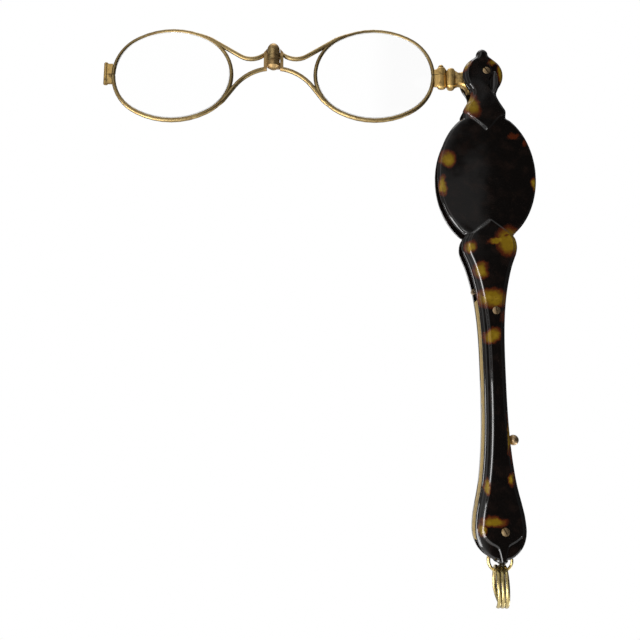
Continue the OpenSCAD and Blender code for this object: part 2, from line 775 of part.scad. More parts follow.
// Ring of points of a lens: the rim's centre line drawn inward, then shrunk, at a distance y from its plane
function lens_ring(inset, share, y) = [
    for (i = [0 : rim_steps])
        let (
            a = rim_open_a + (360 - 2 * rim_open_a) * i / rim_steps,
            p = share * (rim_point(a) - inset * rim_dir(a))
        )
        [p[0], y, p[1]]
];

// How far a domed face falls back at a share of the lens's half-width
function dome_fall(share) =
    lens_face_r - sqrt(lens_face_r * lens_face_r - rim_a * rim_a * share * share);

// Shares of a lens's half-width at which its domed faces have rings
DOME_SHARES = [0.3, 0.55, 0.78, 1];

// Lens with two slightly domed faces and a tongue that sits in the rim's groove
module lens_glass() {
    rest = rim_wire_bottom / 2 + lens_gap;
    tongue = rest - groove_d;
    face = [for (share = DOME_SHARES) [share, lens_t / 2 - dome_fall(share)]];
    half = tongue_t / 2;
    color(glass_colour) skin(concat(
        [for (f = face) lens_ring(rest, f[0], -f[1])],
        [lens_ring(rest, 1, -half), lens_ring(tongue, 1, -half)],
        [lens_ring(tongue, 1, half), lens_ring(rest, 1, half)],
        [for (i = [len(face) - 1 : -1 : 0]) lens_ring(rest, face[i][0], face[i][1])]
    ));
}

// Wire swept along a path of [x, z], with its direction of travel and its diameter at each point
module wire(path, travel, d) {
    skin([
        for (i = [len(path) - 1 : -1 : 0])
            let (p = path[i], t = travel[i])
            [for (j = [0 : wire_sides - 1])
                let (b = 360 * j / wire_sides, out = d[i] / 2 * cos(b))
                [p[0] + out * t[1], d[i] / 2 * sin(b), p[1] - out * t[0]]]
    ]);
}

// The bridge wires run from the hinge leaf, at x = 0 on the barrel's axis, to the rim on the +X side.
// Each is an arc, then a straight line that touches both its arc and a circle just outside the rim's end,
// and at last a tapering run along the rim. The lens centre and the middle of the rim's end are at:
lens_at = [bridge_dist - lens_dist, lens_rise];
rim_end_at = lens_at - [rim_c, 0];
join_r = rim_r + groove_d;
// Middle of the arc of the upper and of the lower bridge wire
upper_arc_at = [arm_dip_x, arm_dip_z + arm_dip_r];
lower_arc_at = [0, arm_arch_z - arm_arch_r];

// A bridge wire. bend: +1 for an arc that hollows upwards, with its centre above the wire, or -1
module bridge_arm(centre, bend_r, bend) {
    to = rim_end_at - centre;
    slope = atan2(to[1], to[0]) + bend * asin((bend_r + join_r) / norm(to));
    start = bend * asin((leaf_reach - centre[0]) / bend_r);
    arc = [for (i = [0 : bend_steps]) start + (slope - start) * i / bend_steps];
    join_a = slope + bend * 90;
    run = [for (i = [0 : merge_steps]) i / merge_steps];
    path = concat(
        [for (a = arc) centre + bend_r * bend * [sin(a), -cos(a)]],
        [rim_end_at + join_r * rim_dir(join_a)],
        [for (s = run) if (s > 0)
            let (a = join_a - bend * arm_merge_a * s)
            lens_at + rim_point(a) + (1 - s) * groove_d * rim_dir(a)]
    );
    travel = concat(
        [[1, 0]],
        [for (a = arc) if (a != arc[0]) [cos(a), sin(a)]],
        [for (s = run) let (a = slope - bend * arm_merge_a * s) [cos(a), sin(a)]]
    );
    width = concat([for (a = arc) arm_wire], [for (s = run) arm_wire + s * (arm_end_wire - arm_wire)]);
    wire(path, travel, width);
}

// Rim and bridge wires of one eyepiece, with the barrel's axis at x = 0 and the lens on the +X side
module eyepiece_wires() {
    translate([lens_at[0], lens_y, lens_at[1]]) rim_wire();
    translate([0, lens_y, 0]) {
        bridge_arm(upper_arc_at, arm_dip_r, 1);
        bridge_arm(lower_arc_at, arm_arch_r, -1);
    }
}

// Places an eyepiece's pieces in the frame. side is 1 for the right and -1 for the left
module on_bridge(side) {
    translate([-bridge_dist, 0, pivot_z]) if (side > 0) children(); else mirror([1, 0, 0]) children();
}

module at_lens(side) {
    on_bridge(side) translate([lens_at[0], lens_y, lens_at[1]]) children();
}

module right_rim() { color(brass_colour) on_bridge(1) eyepiece_wires(); }
module left_rim() { color(brass_colour) on_bridge(-1) eyepiece_wires(); }
module right_lens() { at_lens(1) lens_glass(); }
module left_lens() { at_lens(-1) lens_glass(); }

// Bridge hinge: three knuckles round a pin, two leaves, and a domed cap over the spring

knuckle_gap = 0.06;
leaf_clear = 0.12;
knuckle_z = barrel_z + barrel_foot_h;
leaf_inner = barrel_r + leaf_clear;
leaf_h = 3 * knuckle_h;
cap_z = knuckle_z + leaf_h;
pin_foot = 0.25;
barrel_wall = 0.45;
spring_room_r = barrel_r - barrel_wall;
foot_share = 0.45;

// Root of a bridge wire, from just outside the barrel to the leaf's edge, on the same arc as the wire
module arm_root(centre, bend_r) {
    intersection() {
        translate([centre[0], lens_y, centre[1]]) rotate([90, 0, 0])
            rotate_extrude() translate([bend_r, 0]) circle(d = arm_wire);
        translate([leaf_inner, lens_y - arm_wire, 0])
            cube([leaf_reach - leaf_inner, 2 * arm_wire, cap_z + barrel_cap_h]);
    }
}

// Leaf of the hinge, from just outside the barrel to its own side, with the roots of both bridge wires
module leaf() {
    translate([leaf_inner, lens_y - leaf_t / 2, knuckle_z])
        cube([leaf_reach - leaf_inner, leaf_t, leaf_h]);
    arm_root(upper_arc_at, arm_dip_r);
    arm_root(lower_arc_at, arm_arch_r);
}

// Knuckle number i from below, with a tongue to the leaf
module knuckle(i) {
    low = knuckle_z + i * knuckle_h + (i > 0 ? knuckle_gap : 0);
    high = knuckle_z + (i + 1) * knuckle_h - (i < 2 ? knuckle_gap : 0);
    translate([0, 0, low]) cylinder(r = barrel_r, h = high - low);
    translate([0, lens_y - leaf_t / 2, low]) cube([leaf_inner + leaf_clear, leaf_t, high - low]);
}

module pin_bore() {
    translate([0, 0, knuckle_z - pin_foot - run_clear])
        cylinder(r = bridge_pin_r + run_clear, h = leaf_h + cut);
}

// The right leaf carries the lowest and the topmost knuckle, and the barrel's chamfered foot
module right_hinge_leaf() {
    color(brass_colour) on_bridge(1) difference() {
        union() {
            leaf();
            knuckle(0);
            knuckle(2);
            translate([0, 0, barrel_z])
                cylinder(r1 = foot_share * barrel_r, r2 = barrel_r, h = barrel_foot_h);
        }
        pin_bore();
    }
}

module left_hinge_leaf() {
    color(brass_colour) on_bridge(-1) difference() {
        union() {
            leaf();
            knuckle(1);
        }
        pin_bore();
    }
}

module bridge_pin() {
    color(steel_colour) on_bridge(1) translate([0, 0, knuckle_z - pin_foot])
        cylinder(r = bridge_pin_r, h = leaf_h + pin_foot + cap_pin_share * barrel_cap_h);
}

// Shares of the cap's height: its upright wall, the spring's room, and the pin with its bore
cap_wall_share = 0.2;
cap_room_share = 0.55;
cap_pin_share = 0.6;
dome_steps = 8;

// Pointed dome over the spring. Two arcs meet at its tip
module bridge_cap() {
    wall_h = cap_wall_share * barrel_cap_h;
    dome_h = barrel_cap_h - wall_h;
    arc_r = (barrel_r * barrel_r + dome_h * dome_h) / (2 * barrel_r);
    arc_turn = asin(dome_h / arc_r);
    dome = [
        for (i = [0 : dome_steps])
            let (a = arc_turn * i / dome_steps)
            [max(0, barrel_r - arc_r + arc_r * cos(a)), wall_h + arc_r * sin(a)]
    ];
    color(brass_colour) on_bridge(1) translate([0, 0, cap_z]) difference() {
        rotate_extrude() polygon(concat([[0, 0], [barrel_r, 0]], dome));
        translate([0, 0, -cut]) cylinder(r = spring_room_r, h = cut + cap_room_share * barrel_cap_h);
        translate([0, 0, -cut])
            cylinder(r = bridge_pin_r + run_clear, h = cut + cap_pin_share * barrel_cap_h + 2 * run_clear);
    }
}

// Coils: one unbroken wire wound round the Z axis, from the bottom up

// Centre of the wire at an angle, and the section round it, square to the wire
function coil_ring(r, pitch, wire_d, a, sides) =
    let (
        rise = atan2(pitch, 2 * PI * r),
        out = [cos(a), sin(a), 0],
        up = [sin(rise) * sin(a), -sin(rise) * cos(a), cos(rise)],
        mid = r * out + [0, 0, pitch * a / 360]
    )
    [for (j = [0 : sides - 1]) let (b = 360 * j / sides) mid + wire_d / 2 * (cos(b) * out + sin(b) * up)];

module coil(r, pitch, wire_d, turns, rings, sides = coil_sides) {
    steps = ceil(turns * rings);
    skin([for (i = [0 : steps]) coil_ring(r, pitch, wire_d, 360 * turns * i / steps, sides)]);
}

// Least gap between neighbouring turns, measured on the wire's own points
function turn_gap(r, pitch, wire_d, rings, sides) =
    min([
        for (i = [0 : rings], p = coil_ring(r, pitch, wire_d, 360 * i / rings, sides),
            q = coil_ring(r, pitch, wire_d, 360 * (i + rings) / rings, sides)) norm(p - q)
    ]);

// A coil's two ends stay this far from what they press on
coil_rest = 0.04;
short_turns = 1.5;
bridge_coil_wire = 0.3;
bridge_coil_pitch = 0.75;
bridge_coil_r = (bridge_pin_r + run_clear + spring_room_r) / 2;

module bridge_spring() {
    color(steel_colour) on_bridge(1) translate([0, 0, cap_z + bridge_coil_wire / 2 + coil_rest])
        coil(bridge_coil_r, bridge_coil_pitch, bridge_coil_wire, short_turns, curl_rings);
}

swing_coil_wire = 0.35;
swing_coil_pitch = 0.8;
swing_coil_r = 2.5;

module swing_spring() {
    color(steel_colour) translate([0, hub_t / 2 - swing_coil_wire / 2 - coil_rest, pivot_z])
        rotate([90, 0, 0])
            coil(swing_coil_r, swing_coil_pitch, swing_coil_wire, short_turns, 2 * curl_rings);
}

catch_coil_pitch = (catch_spring_h - catch_coil_wire) / catch_spring_turns;

module catch_spring() {
    color(steel_colour) translate([catch_x, 0, block_top + catch_coil_wire / 2 + coil_rest])
        coil(catch_coil_r, catch_coil_pitch, catch_coil_wire, catch_spring_turns, curl_rings);
}

// Hub arm: hub, flared shank and ridged end block, which the right rim is soldered into. The folded left
// eyepiece needs the room in front of the outer ridge

end_x = -lens_dist + rim_w / 2;
// The block begins over the rim wire, and its outer ridge just past the wire
seat_reach = 0.45;
ridge_x = end_x + ridge_past;
ridge_end_x = ridge_x + ridge_w;
inner_ridge_end_x = ridge_end_x + inner_ridge_w;
shank_l = 0.9;
shank_end_x = inner_ridge_end_x + shank_l;
arm_corner = 0.5;
saw_w = 0.16;
rim_screw_r = 0.45;
rim_screw_head_r = 0.85;
rim_screw_head_h = 0.7;
rim_screw_short = 1.4;
rim_screw_x = ridge_x + ridge_w / 2;

// A station of the arm is [x, top, bottom, front, back], measured from the pivot
function station(x, mid_z, h, front, back) = [x, mid_z + h / 2, mid_z - h / 2, front, back];

// Stations across a ridge: it swells from its edges, drawn in by the rise and the bulge, to its peak
function bead(peak, w) =
    let (edge = peak - [0, ridge_rise, -ridge_rise, -ridge_bulge, ridge_bulge])
    [
        for (i = [0 : bead_steps])
            let (u = 2 * i / bead_steps - 1, s = edge + sqrt(1 - u * u) * (peak - edge))
            [peak[0] + w * i / bead_steps, s[1], s[2], s[3], s[4]]
    ];

// Front and back of the two ridges and of the shank
ridge_y = [-0.15, 1.9];
inner_ridge_y = [-1.5, 1.7];
shank_y = [-1.2, 1.5];
outer_peak = station(ridge_x, -ridge_drop, ridge_h, ridge_y[0], ridge_y[1]);
inner_peak = station(ridge_end_x, -inner_ridge_drop, inner_ridge_h, inner_ridge_y[0], inner_ridge_y[1]);
shank = station(shank_end_x, -shank_drop, shank_h, shank_y[0], shank_y[1]);
// The flare's two last stations, as shares of the hub's radius: distance to the left, top and bottom
hub_entry = [0.72, 0.7];
hub_end = [0.5, 0.8, 0.85];

// Stations of the flare, down two fillets and then into the hub
FLARE = concat(
    [for (i = [0 : fillet_steps])
        let (
            a = 90 * i / fillet_steps, run = flare_low_r * sin(a),
            low = flare_low_r * (1 - cos(a)),
            top = flare_top_r - sqrt(flare_top_r * flare_top_r - run * run)
        )
        [shank[0] + run, shank[1] + top, shank[2] - low, shank[3], shank[4]]],
    [
        [-hub_entry[0] * hub_r, hub_entry[1] * hub_r, shank[2] - flare_low_r, shank[3], shank[4]],
        [-hub_end[0] * hub_r, hub_end[1] * hub_r, -hub_end[2] * hub_r, shank[3], shank[4]]
    ]
);
ARM = concat(
    [outer_peak - [ridge_past + seat_reach, ridge_rise, -ridge_rise, -ridge_bulge, ridge_bulge]],
    bead(outer_peak, ridge_w),
    bead(inner_peak, inner_ridge_w),
    FLARE
);

// Section of the arm at a station: a block with its four long edges cut off
function arm_section(s) =
    let (c = arm_corner)
    [
        [s[0], s[3], s[2] + c], [s[0], s[3], s[1] - c], [s[0], s[3] + c, s[1]], [s[0], s[4] - c, s[1]],
        [s[0], s[4], s[1] - c], [s[0], s[4], s[2] + c], [s[0], s[4] - c, s[2]], [s[0], s[3] + c, s[2]]
    ];

// Groove for the rim wire, as a ring with the wire's radius at the end of the rim's oval
module rim_seat() {
    rotate([90, 0, 0]) rotate_extrude($fn = 2 * $fn) translate([rim_r, 0]) circle(r = rim_wire_bottom / 2);
}

module hub_arm() {
    color(brass_colour) translate([0, 0, pivot_z]) difference() {
        union() {
            skin([for (s = ARM) arm_section(s)]);
            translate([0, hub_t / 2, 0]) rotate([90, 0, 0]) cylinder(r = hub_r, h = hub_t);
        }
        // Bore for the pivot screw, and the spring's pocket behind
        translate([0, hub_t / 2 + cut, 0]) rotate([90, 0, 0]) {
            cylinder(r = pivot_r + run_clear, h = hub_t + 2 * cut);
            cylinder(r = pocket_r, h = pocket_d + cut);
        }
        translate([-lens_dist + rim_c, lens_y, lens_rise]) rim_seat();
        // The end block is sawn through from the rim, and a screw draws it together
        translate([ridge_x - cut, -hub_t, lens_rise - saw_w / 2]) cube([ridge_w + cut, 2 * hub_t, saw_w]);
        translate([rim_screw_x, lens_y, outer_peak[2] + rim_screw_short - run_clear])
            cylinder(r = rim_screw_r + run_clear, h = ridge_h + cut);
    }
}

// Screw that closes the right rim, with a round knob on top of the end block
module right_rim_screw() {
    color(brass_colour) translate([rim_screw_x, lens_y, pivot_z + outer_peak[1]]) {
        translate([0, 0, rim_screw_short - ridge_h])
            cylinder(r = rim_screw_r, h = ridge_h - rim_screw_short);
        intersection() {
            cylinder(r = rim_screw_head_r, h = rim_screw_head_h);
            sphere(r = rim_screw_head_r);
        }
    }
}

// Closing joint at the outer end of the left rim: a plate that ends in a rolled tube, held by a screw
joint_shift = 0.3;
joint_screw_r = 0.35;
joint_floor = 0.6;
joint_sink = 0.5;
joint_trim = 0.25;
joint_head_h = 0.35;
tube_x = rim_w / 2 + joint_reach;

module at_joint() {
    at_lens(-1) translate([0, 0, joint_shift - joint_h / 2]) children();
}

module left_end_joint() {
    color(brass_colour) at_joint() difference() {
        union() {
            translate([tube_x, 0, 0]) cylinder(r = joint_tube_r, h = joint_h);
            translate([rim_w / 2 - joint_sink, -joint_t / 2, joint_trim])
                cube([joint_reach + joint_sink, joint_t, joint_h - 2 * joint_trim]);
        }
        translate([tube_x, 0, joint_floor])
            cylinder(r = joint_screw_r + run_clear, h = joint_h, $fn = small_fn);
        translate([rim_c, 0, joint_h / 2 - joint_shift]) rim_seat();
        // The saw cut that lets the rim open
        translate([rim_w / 2 - cut, -cut, joint_h / 2 - joint_shift - saw_w / 2])
            cube([joint_reach + cut - joint_tube_r / 2, 2 * cut, saw_w]);
    }
}

module left_rim_screw() {
    foot = joint_floor + joint_shift;
    color(brass_colour) at_joint() translate([tube_x, 0, 0]) {
        translate([0, 0, foot]) cylinder(r = joint_screw_r, h = joint_h - foot, $fn = small_fn);
        translate([0, 0, joint_h]) cylinder(r1 = joint_tube_r, r2 = joint_tube_r / 2, h = joint_head_h);
    }
}

// Catch: a flat bar beside the upper screw, with a nose that holds the folded frame, and a ball to push

// The bar is [from, to] across beside the upper screw, and a narrower tail lower down. A bridging arm at
// its top ends in the nose
catch_clear = 0.3;
tail_half_w = 1.15;
nose_arm_h = 1.1;
eye_r = 0.3;
// Distances under the upper screw at which the bar narrows, on its left and on its right
narrow_left = [-1.5, 4.5];
narrow_right = [7, 12];
stem_sink = 1;

module catch_bar() {
    bar_right = -grip_screw_r - catch_clear;
    bar_left = bar_right - catch_w;
    top = nose_z + nose_arm_h / 2;
    tail_left = catch_x - tail_half_w;
    tail_right = catch_x + tail_half_w;
    color(brass_colour) translate([0, catch_t / 2, 0]) rotate([90, 0, 0]) difference() {
        union() {
            linear_extrude(catch_t) polygon([
                [-nose_x, top - nose_arm_h], [-nose_x, top], [bar_right, top],
                [bar_right, upper_screw_z - narrow_right[0]], [tail_right, upper_screw_z - narrow_right[1]],
                [tail_right, bar_bottom], [tail_left, bar_bottom],
                [tail_left, upper_screw_z - narrow_left[1]], [bar_left, upper_screw_z - narrow_left[0]],
                [bar_left, top - nose_arm_h]
            ]);
            translate([-nose_x, nose_z, 0]) cylinder(r = nose_r, h = catch_t);
        }
        // Eye in the nose
        translate([-nose_x, nose_z, -cut]) cylinder(r = eye_r, h = catch_t + 2 * cut);
        // Hole for the button's stem
        translate([tail_left - cut, ball_z, catch_t / 2]) rotate([0, 90, 0])
            cylinder(r = stem_r + run_clear / 2, h = 2 * (tail_half_w + cut), $fn = small_fn);
    }
}

module catch_button() {
    stem_from = catch_x - stem_sink;
    color(brass_colour) translate([0, 0, ball_z]) {
        translate([ball_x, 0, 0]) sphere(r = ball_r);
        translate([stem_from, 0, 0]) rotate([0, 90, 0])
            cylinder(r = stem_r, h = ball_x - stem_from, $fn = small_fn);
    }
}

// Rings. Each is one wire in close turns. The split ring hangs in the small ring

small_pitch = small_ring_wire + ring_turn_gap;
split_pitch = split_ring_wire + ring_turn_gap;
small_ring_turns = 2;
small_ring_z = ring_pin_z - (small_ring_r - small_ring_wire / 2 - ring_pin_r - link_gap);
// The outer turns of the split ring rest inside the small ring. Wound and turned, they reach further out
wind_out = 0.17;
split_out = (split_ring_turns - 1) / 2 * split_pitch + small_pitch * (wind_out + sin(split_ring_turn));
split_room = small_ring_r - small_ring_wire / 2 - split_ring_wire / 2 - link_gap;
split_ring_z = small_ring_z - sqrt(split_room * split_room - split_out * split_out) - split_ring_r;

// Level of the wire at an angle. It steps over to its next turn within the last quarter of a turn
step_share = 0.25;
function level(a) =
    let (turn = floor(a / 360), s = max(0, (a / 360 - turn - 1) / step_share + 1))
    turn + s * s * (3 - 2 * s);

function ring_section(r, pitch, wire_d, a) =
    let (out = [cos(a), sin(a), 0], mid = r * out + [0, 0, pitch * level(a)])
    [for (j = [0 : coil_sides - 1])
        let (b = 360 * j / coil_sides) mid + wire_d / 2 * (cos(b) * out + sin(b) * [0, 0, 1])];

// Wire ring wound in flat turns round the Z axis, centred on the origin. Both ends stop at the step
module wound_ring(r, pitch, wire_d, turns) {
    steps = (turns - step_share) * loop_rings;
    translate([0, 0, -pitch * (turns - 1) / 2])
        skin([for (i = [0 : steps]) ring_section(r, pitch, wire_d, 360 * i / loop_rings)]);
}

module small_ring() {
    color(brass_colour) translate([plate_x, 0, small_ring_z]) rotate([90, 0, 0])
        wound_ring(small_ring_r, small_pitch, small_ring_wire, small_ring_turns);
}

// The split ring's wire starts at the ring's lowest point and rises in front
module split_ring() {
    color(brass_colour) translate([plate_x, 0, split_ring_z]) rotate([90, 0, 90 - split_ring_turn])
        mirror([0, 1, 0]) rotate([0, 0, 90])
            wound_ring(split_ring_r, split_pitch, split_ring_wire, split_ring_turns);
}

echo(catch_spring_gap = turn_gap(catch_coil_r, catch_coil_pitch, catch_coil_wire, curl_rings, coil_sides));
echo(small_ring_gap = small_pitch - small_ring_wire, split_ring_gap = split_pitch - split_ring_wire);
echo(top = OUTLINE[0], bottom = OUTLINE[len(OUTLINE) - 1], split_ring_z = split_ring_z);

front_plate();
back_plate();
left_spacer();
right_spacer();
spring_block();
pivot_screw();
pivot_nut();
upper_screw();
upper_nut();
lower_screw();
lower_nut();
front_washer();
back_washer();
ring_pin();
hub_arm();
swing_spring();
right_rim();
right_lens();
right_rim_screw();
right_hinge_leaf();
bridge_pin();
bridge_cap();
bridge_spring();
left_rim();
left_lens();
left_hinge_leaf();
left_end_joint();
left_rim_screw();
catch_bar();
catch_button();
catch_spring();
small_ring();
split_ring();
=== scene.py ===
"""Looks of the folding lorgnette: tortoiseshell plates, gilt brass frame, lenses and wire rings.

Lengths are in millimetres in the row's own frame. They are turned into metres where Blender needs
them.
"""

import math

import bpy
import numpy as np
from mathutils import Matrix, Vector


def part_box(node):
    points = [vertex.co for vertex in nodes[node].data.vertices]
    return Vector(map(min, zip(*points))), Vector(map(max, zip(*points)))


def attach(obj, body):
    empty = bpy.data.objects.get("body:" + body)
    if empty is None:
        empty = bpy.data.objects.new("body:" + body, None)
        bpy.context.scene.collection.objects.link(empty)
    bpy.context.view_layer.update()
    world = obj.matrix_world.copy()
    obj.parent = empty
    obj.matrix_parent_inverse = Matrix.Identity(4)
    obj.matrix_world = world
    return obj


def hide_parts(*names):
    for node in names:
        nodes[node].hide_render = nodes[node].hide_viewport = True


MM = 0.001

# Camera, fitted to the photograph: it stands in front and a little low, and looks slightly up
PIVOT_Z = 91.5
CAMERA_AT = Vector((-50.42, -206.19, PIVOT_Z - 110.41))
CAMERA_UP_DEG = 9.882
CAMERA_RIGHT_DEG = 0.304
CAMERA_LENS = 41.49
CAMERA_SENSOR = 36.0
CAMERA_CLIP = (0.01, 20)

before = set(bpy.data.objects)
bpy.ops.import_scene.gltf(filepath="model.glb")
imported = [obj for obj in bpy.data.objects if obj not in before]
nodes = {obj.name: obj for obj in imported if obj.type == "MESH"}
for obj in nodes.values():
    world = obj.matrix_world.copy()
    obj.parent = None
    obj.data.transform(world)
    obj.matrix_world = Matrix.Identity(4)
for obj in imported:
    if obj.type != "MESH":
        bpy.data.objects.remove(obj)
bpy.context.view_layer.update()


# Node helpers

def plug(tree, value, socket):
    """Links a node's output to a socket, or sets the socket. A colour may leave out its alpha."""
    if isinstance(value, bpy.types.NodeSocket):
        tree.links.new(value, socket)
    elif socket.type == "RGBA" and len(value) == 3:
        socket.default_value = (*value, 1.0)
    else:
        socket.default_value = value


class Nodes:
    """One node tree, with short calls for the nodes that every material here uses."""

    def __init__(self, tree):
        self.tree = tree

    def add(self, kind, inputs=(), **settings):
        """A node of this kind, with inputs given by name or place."""
        node = self.tree.nodes.new(kind)
        for key, value in settings.items():
            setattr(node, key, value)
        for key, value in dict(inputs).items():
            plug(self.tree, value, node.inputs[key])
        return node

    def math(self, operation, a, b=0.0):
        return self.add("ShaderNodeMath", {0: a, 1: b}, operation=operation).outputs[0]

    def chain(self, operation, first, *others):
        """The values joined by one operation, as in a product or a maximum."""
        for other in others:
            first = self.math(operation, first, other)
        return first

    def vector(self, operation, a, b):
        return self.add("ShaderNodeVectorMath", {0: a, 1: b}, operation=operation).outputs[0]

    def mm(self):
        """Place on the object, in millimetres."""
        coord = self.add("ShaderNodeTexCoord").outputs["Object"]
        inputs = {0: coord, "Scale": 1 / MM}
        return self.add("ShaderNodeVectorMath", inputs, operation="SCALE").outputs[0]

    def noise(self, place, scale, detail, roughness, output="Fac"):
        """Noise with about this many blots in a millimetre."""
        inputs = {"Vector": place, "Scale": scale, "Detail": detail, "Roughness": roughness}
        return self.add("ShaderNodeTexNoise", inputs).outputs[output]

    def span(self, value, low, high, to_low=0.0, to_high=1.0):
        """Goes smoothly from to_low to to_high while the value goes from low to high."""
        inputs = {
            "Value": value, "From Min": low, "From Max": high, "To Min": to_low, "To Max": to_high,
        }
        node = self.add("ShaderNodeMapRange", inputs, interpolation_type="SMOOTHSTEP")
        return node.outputs["Result"]

    def mix(self, share, a, b):
        """Colour a where share is 0 and b where it is 1."""
        node = self.add("ShaderNodeMix", data_type="RGBA")
        sockets = {socket.identifier: socket for socket in node.inputs}
        for key, value in {"Factor_Float": share, "A_Color": a, "B_Color": b}.items():
            plug(self.tree, value, sockets[key])
        return next(s for s in node.outputs if s.identifier == "Result_Color")

    def bump(self, height, depth_mm, strength=1.0):
        inputs = {"Height": height, "Distance": depth_mm * MM, "Strength": strength}
        return self.add("ShaderNodeBump", inputs).outputs["Normal"]


def new_material(name):
    """A material, its node helper and its Principled shader."""
    material = bpy.data.materials.new(name)
    material.use_nodes = True
    return material, Nodes(material.node_tree), material.node_tree.nodes["Principled BSDF"]


def feed(nt, shader, **inputs):
    """Sets or links a shader's inputs. An underscore in a name stands for a space."""
    for key, value in inputs.items():
        plug(nt.tree, value, shader.inputs[key.replace("_", " ")])


# Tortoiseshell. Amber clouds lie in near-black shell, each an oval blot with a ragged, red-brown
# edge: place (x, z), half-widths (across, along) and turn in degrees

FRONT_CLOUDS = [
    ((-12.3, 64.0), (2.0, 2.2), 0),
    ((-13.6, 56.0), (1.0, 2.6), 0),
    ((12.6, 56.0), (0.9, 1.9), 0),
    ((4.4, 39.2), (3.4, 3.6), 10),
    ((1.0, 39.3), (2.6, 0.8), -12),
    ((-6.6, 37.6), (1.6, 1.5), 0),
    ((-3.9, 30.6), (1.9, 1.9), 0),
    ((-0.9, 22.6), (4.3, 2.4), 0),
    ((-1.5, 12.0), (2.2, 1.6), -35),
    ((1.9, -15.5), (0.5, 4.6), 0),
    ((2.4, -27.3), (0.9, 1.6), 0),
    ((-4.3, -28.8), (0.8, 2.0), 0),
    ((-3.0, -38.3), (3.0, 1.3), 0),
    ((-6.2, -40.2), (1.0, 1.4), 0),
    ((4.6, 90.6), (0.95, 4.0), -4),
    ((2.6, 94.8), (2.0, 0.8), -40),
    ((-5.4, 93.6), (0.8, 2.0), 32),
    ((-4.7, 80.4), (1.9, 3.4), -16),
]
BACK_CLOUDS = [
    ((8.2, 62.5), (3.2, 2.0), 20),
    ((2.0, 50.0), (2.2, 3.2), -30),
    ((-4.6, 65.0), (2.4, 1.5), 15),
    ((9.6, 47.5), (1.5, 2.2), 0),
    ((1.6, 94.4), (2.2, 1.3), 30),
    ((-1.8, 86.2), (1.1, 2.3), 0),
    ((1.6, 79.6), (2.2, 1.4), -15),
    ((2.6, 34.5), (2.4, 2.5), 10),
    ((-1.4, 25.5), (1.5, 1.9), 25),
    ((0.9, 11.0), (2.2, 1.7), -25),
    ((1.6, -8.0), (1.1, 3.4), 0),
    ((-0.8, -22.5), (1.7, 1.4), 20),
    ((2.2, -33.5), (1.5, 2.1), 0),
    ((-1.2, -43.5), (2.3, 1.2), 10),
]
# Red-brown stains without amber, and smaller ones that lie in the clouds
FRONT_RUST = [
    ((7.0, 71.2), (1.6, 0.9), -20),
    ((10.6, 68.9), (0.8, 1.3), 20),
    ((2.3, 17.4), (1.3, 1.9), 20),
    ((2.6, -21.0), (0.5, 2.6), 0),
]
FRONT_SPOTS = [
    ((3.5, 40.8), (0.8, 0.45), -20),
    ((-3.2, 23.5), (0.8, 0.6), 0),
]
# Depth in the front plate at which the clouds' middles lie, and their half-thickness
FRONT_CLOUD_Y = -3.6
CLOUD_DEPTH = 2.6

SHELL_BLACK = (0.0036, 0.0027, 0.0023)
SHELL_BROWN = (0.0095, 0.0055, 0.0042)
SHELL_RED = (0.075, 0.014, 0.004)
AMBER_EDGE = (0.110, 0.045, 0.006)
AMBER = (0.190, 0.115, 0.006)
AMBER_LIGHT = (0.290, 0.185, 0.016)

# Colours from the dark shell into a cloud, with the distance at which each starts and at which it
# is full, as a share of the blot's half-width
CLOUD_BANDS = [(1.45, 1.0, SHELL_RED), (1.12, 0.88, AMBER_EDGE), (0.95, 0.6, AMBER)]
STAIN_START = 1.3


def nearest_blot(nt, place, blots, at_y):
    """Distance to the nearest blot, where 1 is a blot's edge."""
    distances = []
    for (x, z), (across, along), turn in blots:
        inputs = {
            "Vector": place,
            "Location": (x, at_y, z),
            "Rotation": (0, math.radians(turn), 0),
            "Scale": (across, CLOUD_DEPTH, along),
        }
        local = nt.add("ShaderNodeMapping", inputs, vector_type="TEXTURE").outputs[0]
        length = nt.add("ShaderNodeVectorMath", {0: local}, operation="LENGTH")
        distances.append(length.outputs["Value"])
    return nt.chain("MINIMUM", *distances)


def wander(nt, place, scale, detail, roughness, reach):
    """A random shift, of up to about half of reach each way."""
    noise = nt.noise(place, scale, detail, roughness, output="Color")
    return nt.vector("MULTIPLY", nt.vector("SUBTRACT", noise, (0.5, 0.5, 0.5)), reach)


